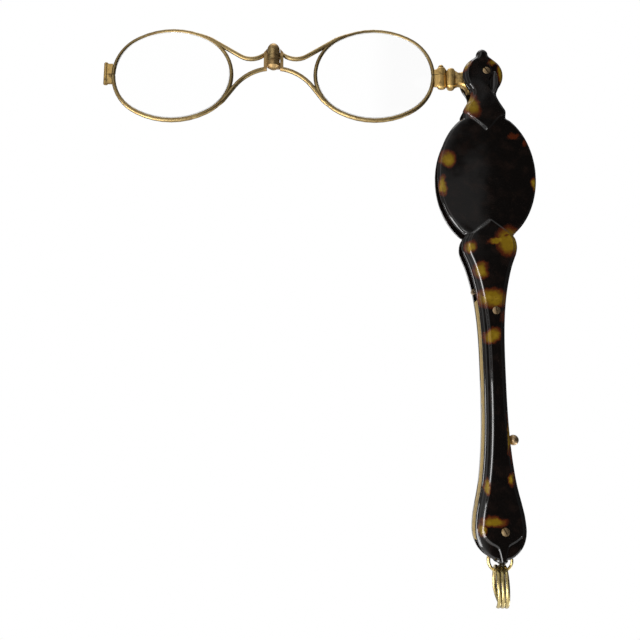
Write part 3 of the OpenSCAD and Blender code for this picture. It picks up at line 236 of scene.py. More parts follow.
def tortoiseshell(name, at_y, clouds, stains=()):
    """Shell with these clouds at depth at_y.

    Each stain is a list of blots, the distance at which the red is full, and its share there.
    """
    material, nt, shader = new_material(name)
    place = nt.mm()
    coarse = wander(nt, place, 0.22, 2, 0.55, (2.6, 1, 2.6))
    fine = wander(nt, place, 1.1, 3, 0.6, (1.2, 0.5, 1.2))
    ragged = nt.vector("ADD", place, nt.vector("ADD", coarse, fine))

    far = nearest_blot(nt, ragged, clouds, at_y)
    murk = nt.noise(place, 0.35, 3, 0.55)
    colour = nt.mix(nt.span(murk, 0.45, 0.75), SHELL_BLACK, SHELL_BROWN)
    for start, full, band in CLOUD_BANDS:
        colour = nt.mix(nt.span(far, start, full), colour, band)
    glow = nt.math("MULTIPLY", nt.span(far, 0.7, 0.2), nt.span(murk, 0.4, 0.65))
    colour = nt.mix(glow, colour, AMBER_LIGHT)
    for blots, full, share in stains:
        far_stain = nearest_blot(nt, ragged, blots, at_y)
        colour = nt.mix(nt.span(far_stain, STAIN_START, full, 0, share), colour, SHELL_RED)
    specks = nt.span(nt.noise(place, 2.6, 2, 0.7), 0.62, 0.72, 0, 0.5)
    colour = nt.mix(specks, colour, SHELL_BROWN)

    scuff = nt.noise(nt.vector("MULTIPLY", place, (6.0, 6.0, 0.5)), 1.3, 4, 0.7)
    handled = nt.noise(place, 0.3, 4, 0.6)
    polish = nt.span(scuff, 0.3, 0.8, 0.05, 0.11)
    rough = nt.math("ADD", polish, nt.span(handled, 0.4, 0.75, 0, 0.05))
    waves = nt.noise(place, 0.2, 1, 0.4)
    height = nt.math("ADD", nt.math("MULTIPLY", waves, 1.6), nt.math("MULTIPLY", scuff, 0.03))
    feed(nt, shader, Base_Color=colour, Roughness=rough, Normal=nt.bump(height, 0.02), IOR=1.54)
    return material


# Metals and glass

BRASS_PALE = (0.56, 0.42, 0.19)
BRASS_RED = (0.36, 0.19, 0.07)
TARNISH = (0.15, 0.09, 0.035)
# Painted shade with grime in corners: its colour, how far the occlusion looks, and how much it
# darkens
SHADE_AND_GRIME = (0.035, 0.022, 0.010)
SHADE_AND_GRIME_REACH = 0.55
SHADE_AND_GRIME_SHARE = 0.9
STEEL_DARK = (0.30, 0.28, 0.25)
STEEL_PALE = (0.52, 0.49, 0.44)


def brass(name, base, worn, tarnish, rough, grain=(1, 1, 1)):
    """Old gilt brass: paler where it is rubbed, redder and duller in blots, and darkened in
    corners with painted shade and grime.
    """
    material, nt, shader = new_material(name)
    place = nt.mm()
    cloud = nt.noise(place, 0.2, 3, 0.5)
    mottle = nt.noise(place, 0.8, 3, 0.55)
    drawn = nt.noise(nt.vector("MULTIPLY", place, grain), 2.5, 3, 0.6)
    colour = nt.mix(nt.span(cloud, 0.62 - 0.3 * worn, 0.75), base, BRASS_PALE)
    colour = nt.mix(nt.span(mottle, 0.45, 0.75, 0, 0.6 * tarnish), colour, BRASS_RED)
    blots = nt.math("MULTIPLY", mottle, cloud)
    colour = nt.mix(nt.span(blots, 0.28, 0.42, 0, tarnish), colour, TARNISH)
    # Painted shade with grime: ambient occlusion finds corners and crevices, where the colour
    # darkens towards near-black and the surface is duller
    reach = {"Distance": SHADE_AND_GRIME_REACH * MM}
    around = nt.add("ShaderNodeAmbientOcclusion", reach, samples=6, only_local=True)
    shade_and_grime = nt.span(around.outputs["AO"], 0.82, 0.35)
    colour = nt.mix(nt.math("MULTIPLY", shade_and_grime, SHADE_AND_GRIME_SHARE), colour, SHADE_AND_GRIME)
    dull = nt.math("ADD", nt.span(mottle, 0.45, 0.75, 0, 0.1), nt.math("MULTIPLY", shade_and_grime, 0.25))
    roughness = nt.math("ADD", nt.span(drawn, 0.3, 0.7, rough, rough + 0.08), dull)
    height = nt.math("ADD", mottle, nt.math("MULTIPLY", drawn, 0.4))
    normal = nt.bump(height, 0.0015, 0.5)
    feed(nt, shader, Base_Color=colour, Metallic=1.0, Roughness=roughness, Normal=normal)
    return material


def spring_wire(name):
    material, nt, shader = new_material(name)
    streak = nt.noise(nt.mm(), 3.0, 3, 0.6)
    colour = nt.mix(nt.span(streak, 0.35, 0.7), STEEL_DARK, STEEL_PALE)
    rough = nt.span(streak, 0.3, 0.7, 0.25, 0.45)
    feed(nt, shader, Base_Color=colour, Metallic=1.0, Roughness=rough)
    return material


def lens_glass(name):
    material, nt, shader = new_material(name)
    haze = nt.span(nt.noise(nt.mm(), 0.15, 3, 0.5), 0.4, 0.8, 0.0, 0.01)
    feed(
        nt, shader, Base_Color=(1.0, 1.0, 1.0), Roughness=haze, IOR=1.45, Transmission_Weight=1.0,
        Specular_IOR_Level=0.05,
    )
    return material


FRONT_STAINS = [(FRONT_RUST, 0.5, 0.9), (FRONT_SPOTS, 0.6, 0.92)]
FRONT_SHELL = tortoiseshell("shell_front", FRONT_CLOUD_Y, FRONT_CLOUDS, FRONT_STAINS)
BACK_SHELL = tortoiseshell("shell_back", -FRONT_CLOUD_Y, BACK_CLOUDS)
FRAME_BRASS = brass("frame_brass", (0.31, 0.225, 0.10), worn=0.5, tarnish=0.6, rough=0.31)
HINGE_BRASS = brass("hinge_brass", (0.43, 0.285, 0.125), worn=0.2, tarnish=0.7, rough=0.36)
BLOCK_BRASS = brass("block_brass", (0.62, 0.41, 0.145), worn=0.3, tarnish=0.6, rough=0.36)
SCREW_BRASS = brass("screw_brass", (0.46, 0.33, 0.19), worn=0.4, tarnish=0.5, rough=0.3)
RING_BRASS = brass("ring_brass", (0.52, 0.42, 0.18), worn=0.6, tarnish=0.3, rough=0.24)
SPACER_BRASS = brass(
    "spacer_brass", (0.66, 0.46, 0.125), worn=0.2, tarnish=0.3, rough=0.4, grain=(4, 4, 0.4)
)
STEEL = spring_wire("spring_steel")
GLASS = lens_glass("lens_glass")

# Finish of each node. Those that aren't named here are in screw brass
FINISH = {
    "front_plate": FRONT_SHELL,
    "back_plate": BACK_SHELL,
    "left_spacer": SPACER_BRASS,
    "right_spacer": SPACER_BRASS,
    "right_rim": FRAME_BRASS,
    "left_rim": FRAME_BRASS,
    "hub_arm": BLOCK_BRASS,
    "right_rim_screw": BLOCK_BRASS,
    "left_end_joint": BLOCK_BRASS,
    "right_hinge_leaf": HINGE_BRASS,
    "left_hinge_leaf": HINGE_BRASS,
    "bridge_cap": HINGE_BRASS,
    "right_lens": GLASS,
    "left_lens": GLASS,
    "swing_spring": STEEL,
    "bridge_spring": STEEL,
    "catch_spring": STEEL,
    "bridge_pin": STEEL,
    "small_ring": RING_BRASS,
    "split_ring": RING_BRASS,
}

# Sharpest edge, in degrees, that is still shaded smooth
CAD_SMOOTH = 38
CAD_RIM_SMOOTH = 55
FINE_SMOOTH = 30
WIRE_SMOOTH = 60
WELD = 0.0005


def smooth_by_angle(limit_deg):
    """Geometry nodes that weld a mesh and shade it smooth but for edges sharper than the limit."""
    name = f"smooth_{limit_deg}"
    if name in bpy.data.node_groups:
        return bpy.data.node_groups[name]
    group = bpy.data.node_groups.new(name, "GeometryNodeTree")
    for way in ("INPUT", "OUTPUT"):
        group.interface.new_socket("Geometry", in_out=way, socket_type="NodeSocketGeometry")
    nt = Nodes(group)
    shape = nt.add("NodeGroupInput").outputs[0]
    inputs = {"Geometry": shape, "Distance": WELD * MM}
    shape = nt.add("GeometryNodeMergeByDistance", inputs).outputs[0]
    angle = nt.add("GeometryNodeInputMeshEdgeAngle").outputs["Unsigned Angle"]
    inputs = {0: angle, 1: math.radians(limit_deg)}
    soft = nt.add("FunctionNodeCompare", inputs, operation="LESS_THAN").outputs[0]
    for domain, smooth in (("FACE", True), ("EDGE", soft)):
        inputs = {"Geometry": shape, "Shade Smooth": smooth}
        shape = nt.add("GeometryNodeSetShadeSmooth", inputs, domain=domain).outputs[0]
    nt.add("NodeGroupOutput", {0: shape})
    return group


def finish(piece, node, limit_deg):
    """The node's material, and smooth shading up to this angle."""
    piece.data.materials.clear()
    piece.data.materials.append(FINISH.get(node, SCREW_BRASS))
    piece.modifiers.new("smooth", "NODES").node_group = smooth_by_angle(limit_deg)


def cad_pieces():
    for name, node in nodes.items():
        finish(node, name, CAD_RIM_SMOOTH if name.endswith("_rim") else CAD_SMOOTH)


# Mesh helpers

def node_points(name):
    """A CAD node's own vertices, in millimetres."""
    mesh = nodes[name].data
    points = np.empty(3 * len(mesh.vertices))
    mesh.vertices.foreach_get("co", points)
    return points.reshape(-1, 3) / MM


def node_box(name):
    return tuple(np.array(corner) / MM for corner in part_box(name))


def node_middle(name):
    low, high = node_box(name)
    return (low + high) / 2


def loop_faces(rows, sides):
    """Quads between rings of points that were laid one after the other, and a face at each end."""
    faces = []
    for i in range(rows - 1):
        for j in range(sides):
            k = (j + 1) % sides
            faces.append((i * sides + j, i * sides + k, (i + 1) * sides + k, (i + 1) * sides + j))
    faces.append(tuple(range(sides - 1, -1, -1)))
    faces.append(tuple((rows - 1) * sides + j for j in range(sides)))
    return faces


def flipped(faces):
    return [face[::-1] for face in faces]


def new_object(name, points, faces):
    """An object in the scene, from points in millimetres."""
    mesh = bpy.data.meshes.new(name)
    mesh.from_pydata([tuple(p) for p in np.asarray(points) * MM], [], faces)
    thing = bpy.data.objects.new(name, mesh)
    bpy.context.scene.collection.objects.link(thing)
    return thing


def new_tool(name, points, faces):
    """A closed tool for cutting, with its faces turned outward."""
    volume = 0.0
    for first, *rest in faces:
        for b, c in zip(rest, rest[1:]):
            volume += Vector(points[first]).dot(Vector(points[b]).cross(Vector(points[c])))
    return new_object(name, points, flipped(faces) if volume < 0 else faces)


def piece_in_place_of(node, points, faces, body, limit_deg, tools=()):
    """A finished piece that stands for a CAD node, with the tools' shapes cut out of it."""
    piece = new_object(f"{node}_fine", points, faces)
    piece.data.validate()
    for tool in tools:
        cut = piece.modifiers.new("cut", "BOOLEAN")
        cut.operation, cut.solver, cut.object = "DIFFERENCE", "EXACT", tool
    if tools:
        cut_piece = piece.evaluated_get(bpy.context.evaluated_depsgraph_get())
        done = bpy.data.meshes.new_from_object(cut_piece)
        piece.modifiers.clear()
        piece.data = done
        for tool in tools:
            bpy.data.objects.remove(tool)
    finish(piece, node, limit_deg)
    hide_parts(node)
    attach(piece, body)
    return piece


def smooth_through(knots, values, at):
    """Monotone cubic through the values at rising knots, read at the places asked for."""
    knots, values = np.asarray(knots, float), np.asarray(values, float)
    gap = np.diff(knots)
    rise = np.diff(values) / gap
    slope = np.zeros_like(values)
    both = rise[:-1] * rise[1:] > 0
    w1, w2 = 2 * gap[1:] + gap[:-1], gap[1:] + 2 * gap[:-1]
    with np.errstate(divide="ignore", invalid="ignore"):
        mean = (w1 + w2) / (w1 / rise[:-1] + w2 / rise[1:])
    slope[1:-1][both] = mean[both]
    slope[0], slope[-1] = rise[0], rise[-1]
    i = np.clip(np.searchsorted(knots, at, side="right") - 1, 0, len(gap) - 1)
    t = (np.asarray(at) - knots[i]) / gap[i]
    a, b = values[i], values[i + 1]
    ma, mb = slope[i] * gap[i], slope[i + 1] * gap[i]
    return (
        a * (1 - 3 * t**2 + 2 * t**3)
        + b * (3 * t**2 - 2 * t**3)
        + ma * (t - 2 * t**2 + t**3)
        + mb * (t**3 - t**2)
    )


def rounded(points, steps=5):
    """The same line with its corners drawn round, as a curve through its points."""
    points = np.asarray(points, float)
    padded = np.vstack([2 * points[0] - points[1], points, 2 * points[-1] - points[-2]])
    t = (np.arange(steps) / steps)[:, None]
    curve = []
    for a, b, c, d in zip(padded, padded[1:], padded[2:], padded[3:]):
        curve.append(0.5 * (
            2 * b
            + (c - a) * t
            + (2 * a - 5 * b + 4 * c - d) * t**2
            + (3 * b - a - 3 * c + d) * t**3
        ))
    return np.vstack(curve + [points[-1:]])


def far_from(points, line, block=2000):
    """Distance from each (x, z) point to a line of straight steps, block by block."""
    start, step = line[:-1], np.diff(line, axis=0)
    length2 = np.maximum((step**2).sum(1), 1e-12)
    best = np.full(len(points), np.inf)
    for first in range(0, len(points), block):
        p = points[first:first + block, None, :]
        t = np.clip(((p - start) * step).sum(2) / length2, 0, 1)
        gap = p - start - t[..., None] * step
        best[first:first + block] = np.sqrt((gap**2).sum(2).min(1))
    return best


def inside(points, line):
    """Whether each (x, z) point lies inside a closed line."""
    x, z = points[:, 0], points[:, 1]
    result = np.zeros(len(points), bool)
    for (x0, z0), (x1, z1) in zip(line[:-1], line[1:]):
        if z0 == z1:
            continue
        crosses = ((z0 > z) != (z1 > z)) & (x < (x1 - x0) * (z - z0) / (z1 - z0) + x0)
        result ^= crosses
    return result


def outside_by(points, line, reach=2.0):
    """Distance of each point outside a closed line, 0 for points inside, exact up to reach."""
    away = np.full(len(points), 4 * reach)
    close = np.all((points > line.min(0) - reach) & (points < line.max(0) + reach), axis=1)
    near = points[close]
    away[close] = np.where(inside(near, line), 0.0, far_from(near, line))
    return away


def inside_by(rows, points, columns, reach=2.8):
    """Distance of a net's points from the plate's right outline, given as rows [z, half-width].

    The net has this many columns to each of the rows. The distance is exact up to reach.
    """
    deep = np.empty(len(points))
    down = -rows[:, 0]
    for i, at in enumerate(down):
        first = max(0, np.searchsorted(down, at - reach) - 1)
        last = np.searchsorted(down, at + reach) + 2
        line = np.column_stack([PLATE_X + rows[first:last, 1], rows[first:last, 0]])
        row = slice(i * columns, (i + 1) * columns)
        deep[row] = far_from(points[row], line)
    return deep


def soft_max(a, b, blend):
    return np.logaddexp(a / blend, b / blend) * blend


def soft_min(a, b, blend):
    return -soft_max(-a, -b, blend)


# The two plates. Each is a height over its flat inside, on a fine net of points

PLATE_LOW, PLATE_HIGH = node_box("front_plate")
PLATE_X = (PLATE_LOW[0] + PLATE_HIGH[0]) / 2
SLOT_HALF = abs(PLATE_HIGH[1])
PLATE_T = abs(PLATE_LOW[1]) - SLOT_HALF
LEAST_T = 0.3

# Lens cover: bevelled edge, flat, and crown that is full where the plate is wide
EDGE_T, COVER_T, COVER_CROWN, EDGE_BEVEL = 0.75, 1.25, 0.25, 0.6
EDGE_ROUND = 0.035
CROWN_FULL_W = 6.2
# Broken edge along the outline, and the most of a row's half-width that it takes
ARRIS = 0.1
ARRIS_W = 1.2 * ARRIS
ARRIS_SHARE = 0.4
# Bevel around the raised faces, and how the raised part thins at the foot
RAISE_BEVEL, RAISE_DROP, RAISE_ROUND = 0.65, 0.8, 0.045
FOOT_THIN_Z, FOOT_THIN_LONG, FOOT_THIN = -43.5, 5.5, 0.45
# Finial, which is a pillow, and the height under its middle from which it takes over
FINIAL_R = 1.72
FINIAL_Z = PLATE_HIGH[2] - FINIAL_R
FINIAL_ROUND, FINIAL_EDGE_T = 1.45, 0.5
FINIAL_UNDER, FINIAL_BLEND = 2.3, 1.2
# Hollow at the right of the head and neck: height above the pivot, x of its middle, half-width
HOLLOW = [
    (-0.2, 2.35, 0.3), (-1.6, 2.0, 1.1), (-3.4, 1.85, 1.3), (-5.4, 1.75, 1.1), (-7.4, 1.6, 0.3),
]
HOLLOW_DEPTH, HOLLOW_FULL_W = 0.62, 1.1

# Net: rows are closer in the zones, given by height, where the outline or a raised face turns fast
ROW_STEP, FINE_STEP = 0.34, 0.15
FINE_ZONES = ((71.0, 100.0), (36.5, 43.0), (-50.5, -41.5))
# Columns near an edge lie at these distances from it, and draw together where the plate is narrow
EDGE_STEPS = np.array([
    0.0, 0.07, 0.16, 0.28, 0.42, 0.56, 0.64, 0.72, 0.8, 0.95, 1.1, 1.25, 1.33, 1.41, 1.48, 1.56,
    1.7, 1.85, 2.0, 2.1, 2.18, 2.26, 2.36,
])
EDGE_FULL_W = 3.0
CENTRE_HALF_W, CENTRE_SHARE = 7.0, 0.8
CENTRE_COLUMNS, SIDE_COLUMNS = 49, 6

# Outlines of the raised, flat faces, as points (x, height above the pivot)
NECK_RIGHT_FACE = [
    (-0.55, 6.6), (-0.25, 5.4), (0.15, 3.4), (0.85, 1.2), (1.1, 0.0), (0.8, -1.3), (0.2, -2.7),
    (0.0, -3.9), (0.2, -5.2), (0.85, -6.5), (1.55, -7.6), (2.5, -9.4), (3.4, -11.2), (4.3, -12.5),
    (4.5, -13.1), (4.1, -13.7), (3.0, -14.3), (1.9, -15.5), (0.7, -17.1), (-0.45, -18.3),
]
NECK_LEFT_FACE = [(-1.6, -17.1), (-3.4, -15.5), (-4.9, -14.2), (-5.25, -13.7)]
NECK_FACE_LOW, NECK_FACE_HIGH = -13.2, 4.5
GRIP_FOOT_RIGHT = [
    (4.45, -130.6), (4.5, -132.2), (4.1, -133.3), (2.6, -134.5), (0.75, -135.7), (0.1, -137.4),
    (-0.5, -140.0),
]
GRIP_FOOT_LEFT = [
    (-0.95, -140.0), (-1.45, -137.4), (-2.1, -136.0), (-3.9, -134.9), (-5.2, -133.6),
    (-5.75, -132.0),
]
GRIP_SIDES_LOW = -130.2
# How far the faces' straight-run sides lie inside the outline, and the least half-width left
FACE_INSET, GRIP_LEFT_INSET, FACE_LEAST_W = 1.4, 2.2, 0.5
FACE_STEP = 0.4
# The grip's face begins where the plate is narrowest between these heights, with a tip over it
GRIP_TOP_ZONE = (34, 50)
GRIP_TIP = (0.4, 3.95)

# Tolerances for reading the outline off the CAD mesh
ON_INSIDE, ON_LEVEL, EVEN_SIDES, LEAST_HALF_W = 0.002, 0.001, 0.004, 0.05
PIN_Z = node_middle("ring_pin")[2]
PIN_ZONE = 0.7


def plate_outline():
    """Rows [z, half-width] from the top down, read off the front plate's inside, drawn smooth."""
    points = node_points("front_plate")
    inner = points[np.abs(points[:, 1] + SLOT_HALF) < ON_INSIDE]
    off = inner[:, 0] - PLATE_X
    levels = np.unique(np.round(inner[:, 2], 3))[::-1]
    stations = []
    for z in levels:
        at = off[np.abs(inner[:, 2] - z) < ON_LEVEL]
        w = at.max()
        in_bore = abs(z - PIN_Z) < PIN_ZONE and w < PIN_ZONE
        if w > LEAST_HALF_W and abs(w + at.min()) < EVEN_SIDES and not in_bore:
            stations.append((z, w))
    stations = np.array(stations)
    reach = np.concatenate([[0], np.cumsum(np.hypot(*np.diff(stations, axis=0).T))])
    at = [0.0]
    while at[-1] < reach[-1]:
        here = np.interp(at[-1], reach, stations[:, 0])
        fine = any(low < here < high for low, high in FINE_ZONES)
        at.append(at[-1] + (FINE_STEP if fine else ROW_STEP))
    at = np.array(at) * reach[-1] / at[-1]
    z = smooth_through(reach, stations[:, 0], at)
    return np.column_stack([z, smooth_through(reach, stations[:, 1], at)])


def face_lines(rows):
    """Closed outlines of the neck's and the grip's raised flat faces."""
    z, w = rows.T

    def width(at):
        return np.interp(-np.asarray(at), -z, w)

    left_z = np.arange(NECK_FACE_LOW, NECK_FACE_HIGH, FACE_STEP) + PIVOT_Z
    left_x = PLATE_X - np.maximum(width(left_z) - FACE_INSET, FACE_LEAST_W)
    right = rounded(NECK_RIGHT_FACE) + (0, PIVOT_Z)
    low_left = rounded(NECK_LEFT_FACE) + (0, PIVOT_Z)
    neck = np.vstack([right, low_left, np.column_stack([left_x, left_z]), right[:1]])

    low, high = GRIP_TOP_ZONE
    waist = (z < high) & (z > low)
    start_z = z[waist][np.argmin(w[waist])]
    side_z = np.arange(start_z, PIVOT_Z + GRIP_SIDES_LOW, -FACE_STEP)
    side_w = width(side_z)
    tip = (PLATE_X + GRIP_TIP[0], start_z + GRIP_TIP[1])
    right_side = np.column_stack([PLATE_X + side_w - FACE_INSET, side_z])
    left_side = np.column_stack([PLATE_X - side_w + GRIP_LEFT_INSET, side_z])[::-1]
    foot_right = rounded(GRIP_FOOT_RIGHT) + (0, PIVOT_Z)
    foot_left = rounded(GRIP_FOOT_LEFT) + (0, PIVOT_Z)
    grip = np.vstack([[tip], right_side, foot_right, foot_left, left_side, [tip]])
    return neck, grip


def plate_net(rows):
    """Points (x, z) of the net, row by row, each row from the left edge to the right one."""
    net = []
    for z, w in rows:
        edge = EDGE_STEPS * min(1.0, w / EDGE_FULL_W)
        rest = w - edge[-1]
        middle = min(CENTRE_SHARE * rest, CENTRE_HALF_W)
        out = np.concatenate([w - edge, np.linspace(rest, middle, SIDE_COLUMNS + 2)[1:-1]])
        across = np.concatenate([-out, np.linspace(-middle, middle, CENTRE_COLUMNS), out[::-1]])
        net.append(np.column_stack([PLATE_X + across, np.full(len(across), z)]))
    return np.array(net)


def plate_heights(rows, net):
    """Thickness of the plate at each point of the net."""
    flat = net.reshape(-1, 2)
    x, z = flat.T
    w = np.repeat(rows[:, 1], net.shape[1])
    mirrored = np.column_stack([PLATE_X + np.abs(x - PLATE_X), z])
    deep = inside_by(rows, mirrored, net.shape[1])

    bevel = EDGE_T + (COVER_T - EDGE_T) * deep / EDGE_BEVEL
    height = soft_min(bevel, np.full_like(deep, COVER_T), EDGE_ROUND)
    height += COVER_CROWN * np.minimum(1, w / CROWN_FULL_W) * (1 - ((x - PLATE_X) / w) ** 2)
    height -= ARRIS * np.clip(1 - deep / ARRIS_W, 0, 1) ** 2

    hollow = np.array(HOLLOW)[::-1]
    low, high = hollow[0, 0], hollow[-1, 0]
    up = z - PIVOT_Z
    mid = np.interp(up, hollow[:, 0], hollow[:, 1])
    half = smooth_through(hollow[:, 0], hollow[:, 2], np.clip(up, low, high))
    along = (up > low) & (up < high)
    dish = np.where(along, np.clip(1 - ((x - mid) / half) ** 2, 0, 1), 0)
    height -= HOLLOW_DEPTH * (dish * np.minimum(1, half / HOLLOW_FULL_W))

    top = PLATE_T - np.clip((FOOT_THIN_Z - z) / FOOT_THIN_LONG, 0, 1) * FOOT_THIN
    for line in face_lines(rows):
        fall = RAISE_DROP / RAISE_BEVEL * outside_by(flat, line) - 2 * RAISE_ROUND
        height = soft_max(height, soft_min(top - fall, top, RAISE_ROUND), RAISE_ROUND)

    rise = np.clip(deep / FINIAL_ROUND, 0, 1)
    pillow = FINIAL_EDGE_T + (PLATE_T - FINIAL_EDGE_T) * np.sqrt(1 - (1 - rise) ** 2)
    on_finial = np.clip((z - FINIAL_Z + FINIAL_UNDER) / FINIAL_BLEND, 0, 1)
    on_finial = on_finial**2 * (3 - 2 * on_finial)
    height = height * (1 - on_finial) + pillow * on_finial
    return np.clip(height, LEAST_T, PLATE_T).reshape(net.shape[:2])


# Screw heads, their slots with a turn in degrees for each, and the seats and holes in the plates
HEAD_R, HEAD_T, HEAD_CROWN, HEAD_CHAMFER = 1.17, 0.6, 0.10, 0.06
HEAD_SUNK = 0.03
HEAD_RINGS = np.linspace(0.06, 1, 9)
DRIVE_W, DRIVE_DEPTH, DRIVE_PAST = 0.36, 0.4, 0.3
DRIVE_TURN = {"pivot": 126, "upper": 96, "lower": 118}
SHANK_HOLE_R = {"pivot": 0.94, "upper": 0.84, "lower": 0.84}
SEAT_CLEAR = 0.03
NUT_SEAT_DEPTH = 0.9
HOLE_OVERLAP = 0.1
ON_SHANK_END = 0.01
LATHE_SIDES = 64
BORE_SIDES = 96
# How far a tool reaches past the face that it cuts
CUT_PAST = 1.0


def circle(sides):
    return np.linspace(0, 2 * math.pi, sides, endpoint=False)


def bore(name, x, z, radius, y_from, y_to):
    """A round tool along Y."""
    points = [
        (x + radius * np.cos(a), y, z + radius * np.sin(a))
        for y in (y_from, y_to) for a in circle(BORE_SIDES)
    ]
    return new_tool(name, points, loop_faces(2, BORE_SIDES))


def plate_seats(side):
    """Tools for the screws' holes and seats: heads in front (side -1), nuts behind (side 1)."""
    face = side * (SLOT_HALF + PLATE_T)
    tools = []
    for place, hole_r in SHANK_HOLE_R.items():
        x, _, z = node_middle(f"{place}_screw")
        if side < 0:
            seat_r, depth = HEAD_R, HEAD_T
        else:
            low, high = node_box(f"{place}_nut")
            seat_r, depth = (high[0] - low[0]) / 2, NUT_SEAT_DEPTH
        seat_r += SEAT_CLEAR
        hole_y = (side * (SLOT_HALF - CUT_PAST), face - side * (depth - HOLE_OVERLAP))
        tools.append(bore("seat", x, z, seat_r, face - side * depth, face + side * CUT_PAST))
        tools.append(bore("hole", x, z, hole_r, *hole_y))
    return tools


def plates():
    rows = plate_outline()
    net = plate_net(rows)
    heights = plate_heights(rows, net)
    for node, side in (("front_plate", -1), ("back_plate", 1)):
        rings = []
        for (z, w), line, tall in zip(rows, net, heights):
            base, turn = side * SLOT_HALF, min(ARRIS, ARRIS_SHARE * w)
            top = [(x, side * (SLOT_HALF + t), z) for (x, _), t in zip(line, tall)]
            left, right = PLATE_X - w, PLATE_X + w
            ring = [(left + turn, base, z), (left, base + side * turn, z), *top]
            ring += [(right, base + side * turn, z), (right - turn, base, z)]
            rings.append(ring if side < 0 else ring[::-1])
        points = np.array(rings).reshape(-1, 3)
        faces = flipped(loop_faces(len(rings), len(rings[0])))
        tools = plate_seats(side)
        piece_in_place_of(node, points, faces, "handle", FINE_SMOOTH, tools)


def screws():
    """The three screws, with a crowned, slotted head that lies just under the plate's face."""
    face = -(SLOT_HALF + PLATE_T) + HEAD_SUNK
    edge_y = face + HEAD_CROWN + HEAD_CHAMFER
    for place, degrees in DRIVE_TURN.items():
        node = f"{place}_screw"
        x, _, z = node_middle(node)
        end_y = node_box(node)[1][1]
        points = node_points(node)
        on_end = np.abs(points[:, 1] - end_y) < ON_SHANK_END
        shank_r = float(np.hypot(points[on_end, 0] - x, points[on_end, 2] - z).max())
        top_r = HEAD_R - HEAD_CHAMFER
        profile = [(r * top_r, face + HEAD_CROWN * r * r) for r in HEAD_RINGS]
        profile += [(HEAD_R, edge_y), (HEAD_R, face + HEAD_T), (shank_r, face + HEAD_T)]
        profile += [(shank_r, end_y)]
        turn = circle(LATHE_SIDES)
        lathe = [(x + r * math.cos(a), y, z + r * math.sin(a)) for r, y in profile for a in turn]

        half_w, long = DRIVE_W / 2, HEAD_R + DRIVE_PAST
        cos_t, sin_t = math.cos(math.radians(degrees)), math.sin(math.radians(degrees))
        corners = [(-long, -half_w), (long, -half_w), (long, half_w), (-long, half_w)]
        drive = [
            (x + u * cos_t - v * sin_t, y, z + u * sin_t + v * cos_t)
            for y in (face - CUT_PAST, face + DRIVE_DEPTH) for u, v in corners
        ]
        tools = [new_tool("drive", drive, loop_faces(2, 4))]
        faces = flipped(loop_faces(len(profile), LATHE_SIDES))
        piece_in_place_of(node, lathe, faces, "handle", FINE_SMOOTH, tools)


# Brass strips between the plates, flush with their edges and a little domed

SPACER_W = 1.45
SPACER_CROWN = 0.12
SPACER_SIDES = 6
SPACER_END_CLEAR = 0.1
SLIT_HALF_W = 0.7
CATCH_TRAVEL = 1.6


def button_slit():
    """Tool for the slit in the right strip, in which the button's stem slides down."""
    middle, right = node_middle("catch_button")[2], node_box("catch_button")[1][0]
    half, low = SLIT_HALF_W, -SLIT_HALF_W - CATCH_TRAVEL
    corners = [(-half, low), (half, low), (half, half), (-half, half)]
    points = [(x, y, middle + z) for x in (0.0, right + CUT_PAST) for y, z in corners]
    return new_tool("slit", points, loop_faces(2, 4))


def spacers():
    outline_z, outline_w = plate_outline().T
    for node, side in (("left_spacer", -1), ("right_spacer", 1)):
        low, high = node_box(node)
        within = (outline_z < high[2] - SPACER_END_CLEAR) & (outline_z > low[2] + SPACER_END_CLEAR)
        at = np.concatenate([[high[2]], outline_z[within], [low[2]]])
        rings = []
        for z, w in zip(at, np.interp(-at, -outline_z, outline_w)):
            outer, inner = PLATE_X + side * (w - SPACER_CROWN), PLATE_X + side * (w - SPACER_W)
            ring = [
                (outer + side * SPACER_CROWN * (1 - t * t), t * SLOT_HALF, z)
                for t in np.linspace(-1, 1, SPACER_SIDES)
            ]
            ring += [(inner, SLOT_HALF, z), (inner, -SLOT_HALF, z)]
            rings.append(ring if side > 0 else ring[::-1])
        points = np.array(rings).reshape(-1, 3)
        faces = flipped(loop_faces(len(rings), len(rings[0])))
        tools = [button_slit()] if side > 0 else []
        piece_in_place_of(node, points, faces, "handle", FINE_SMOOTH, tools)


# Wire rings, round and close-wound. Each turn steps over to the next in its last quarter

STEP_SHARE = 0.25
TUBE_SIDES, RING_STEPS = 14, 72
# The wire's ends are blunt: their size as a share of the wire's, and the steps that they take
END_SHARE, END_STEPS = 0.6, 1.5
SMALL_WIRE = 0.75
SMALL_WIRE_WIDE = 1.1 * SMALL_WIRE
SMALL_TURNS = 2
SPLIT_WIRE, SPLIT_WIRE_WIDE, SPLIT_PITCH = 0.85, 1.07, 1.09
SPLIT_TURNS = 3
# The split ring's wire is kept inside the solid's, and the ring hangs this much out of square
SPLIT_INSET = 0.05
SPLIT_TURN_DEG = 6


def wound_wire(radius, pitch, thick, wide, turns, place):
    """Wire wound along flat turns, thick along the radius and wide across it.

    place takes a point of the ring, which lies around Z, into the row's frame.
    """
    steps = int((turns - STEP_SHARE) * RING_STEPS)
    rings = []
    for i in range(steps + 1):
        share = i / RING_STEPS
        whole = math.floor(share)
        s = max(0.0, (share - whole - 1) / STEP_SHARE + 1)
        level = (whole + s * s * (3 - 2 * s) - (turns - 1) / 2) * pitch
        a = 2 * math.pi * share
        taper = min(1.0, END_SHARE + (1 - END_SHARE) * min(i, steps - i) / END_STEPS)
        ring = []
        for j in range(TUBE_SIDES):
            b = 2 * math.pi * j / TUBE_SIDES
            out, up = thick / 2 * taper * math.cos(b), wide / 2 * taper * math.sin(b)
            point = ((radius + out) * math.cos(a), (radius + out) * math.sin(a), level + up)
            ring.append(place(point))
        rings.append(ring)
    return np.array(rings).reshape(-1, 3), loop_faces(len(rings), TUBE_SIDES)


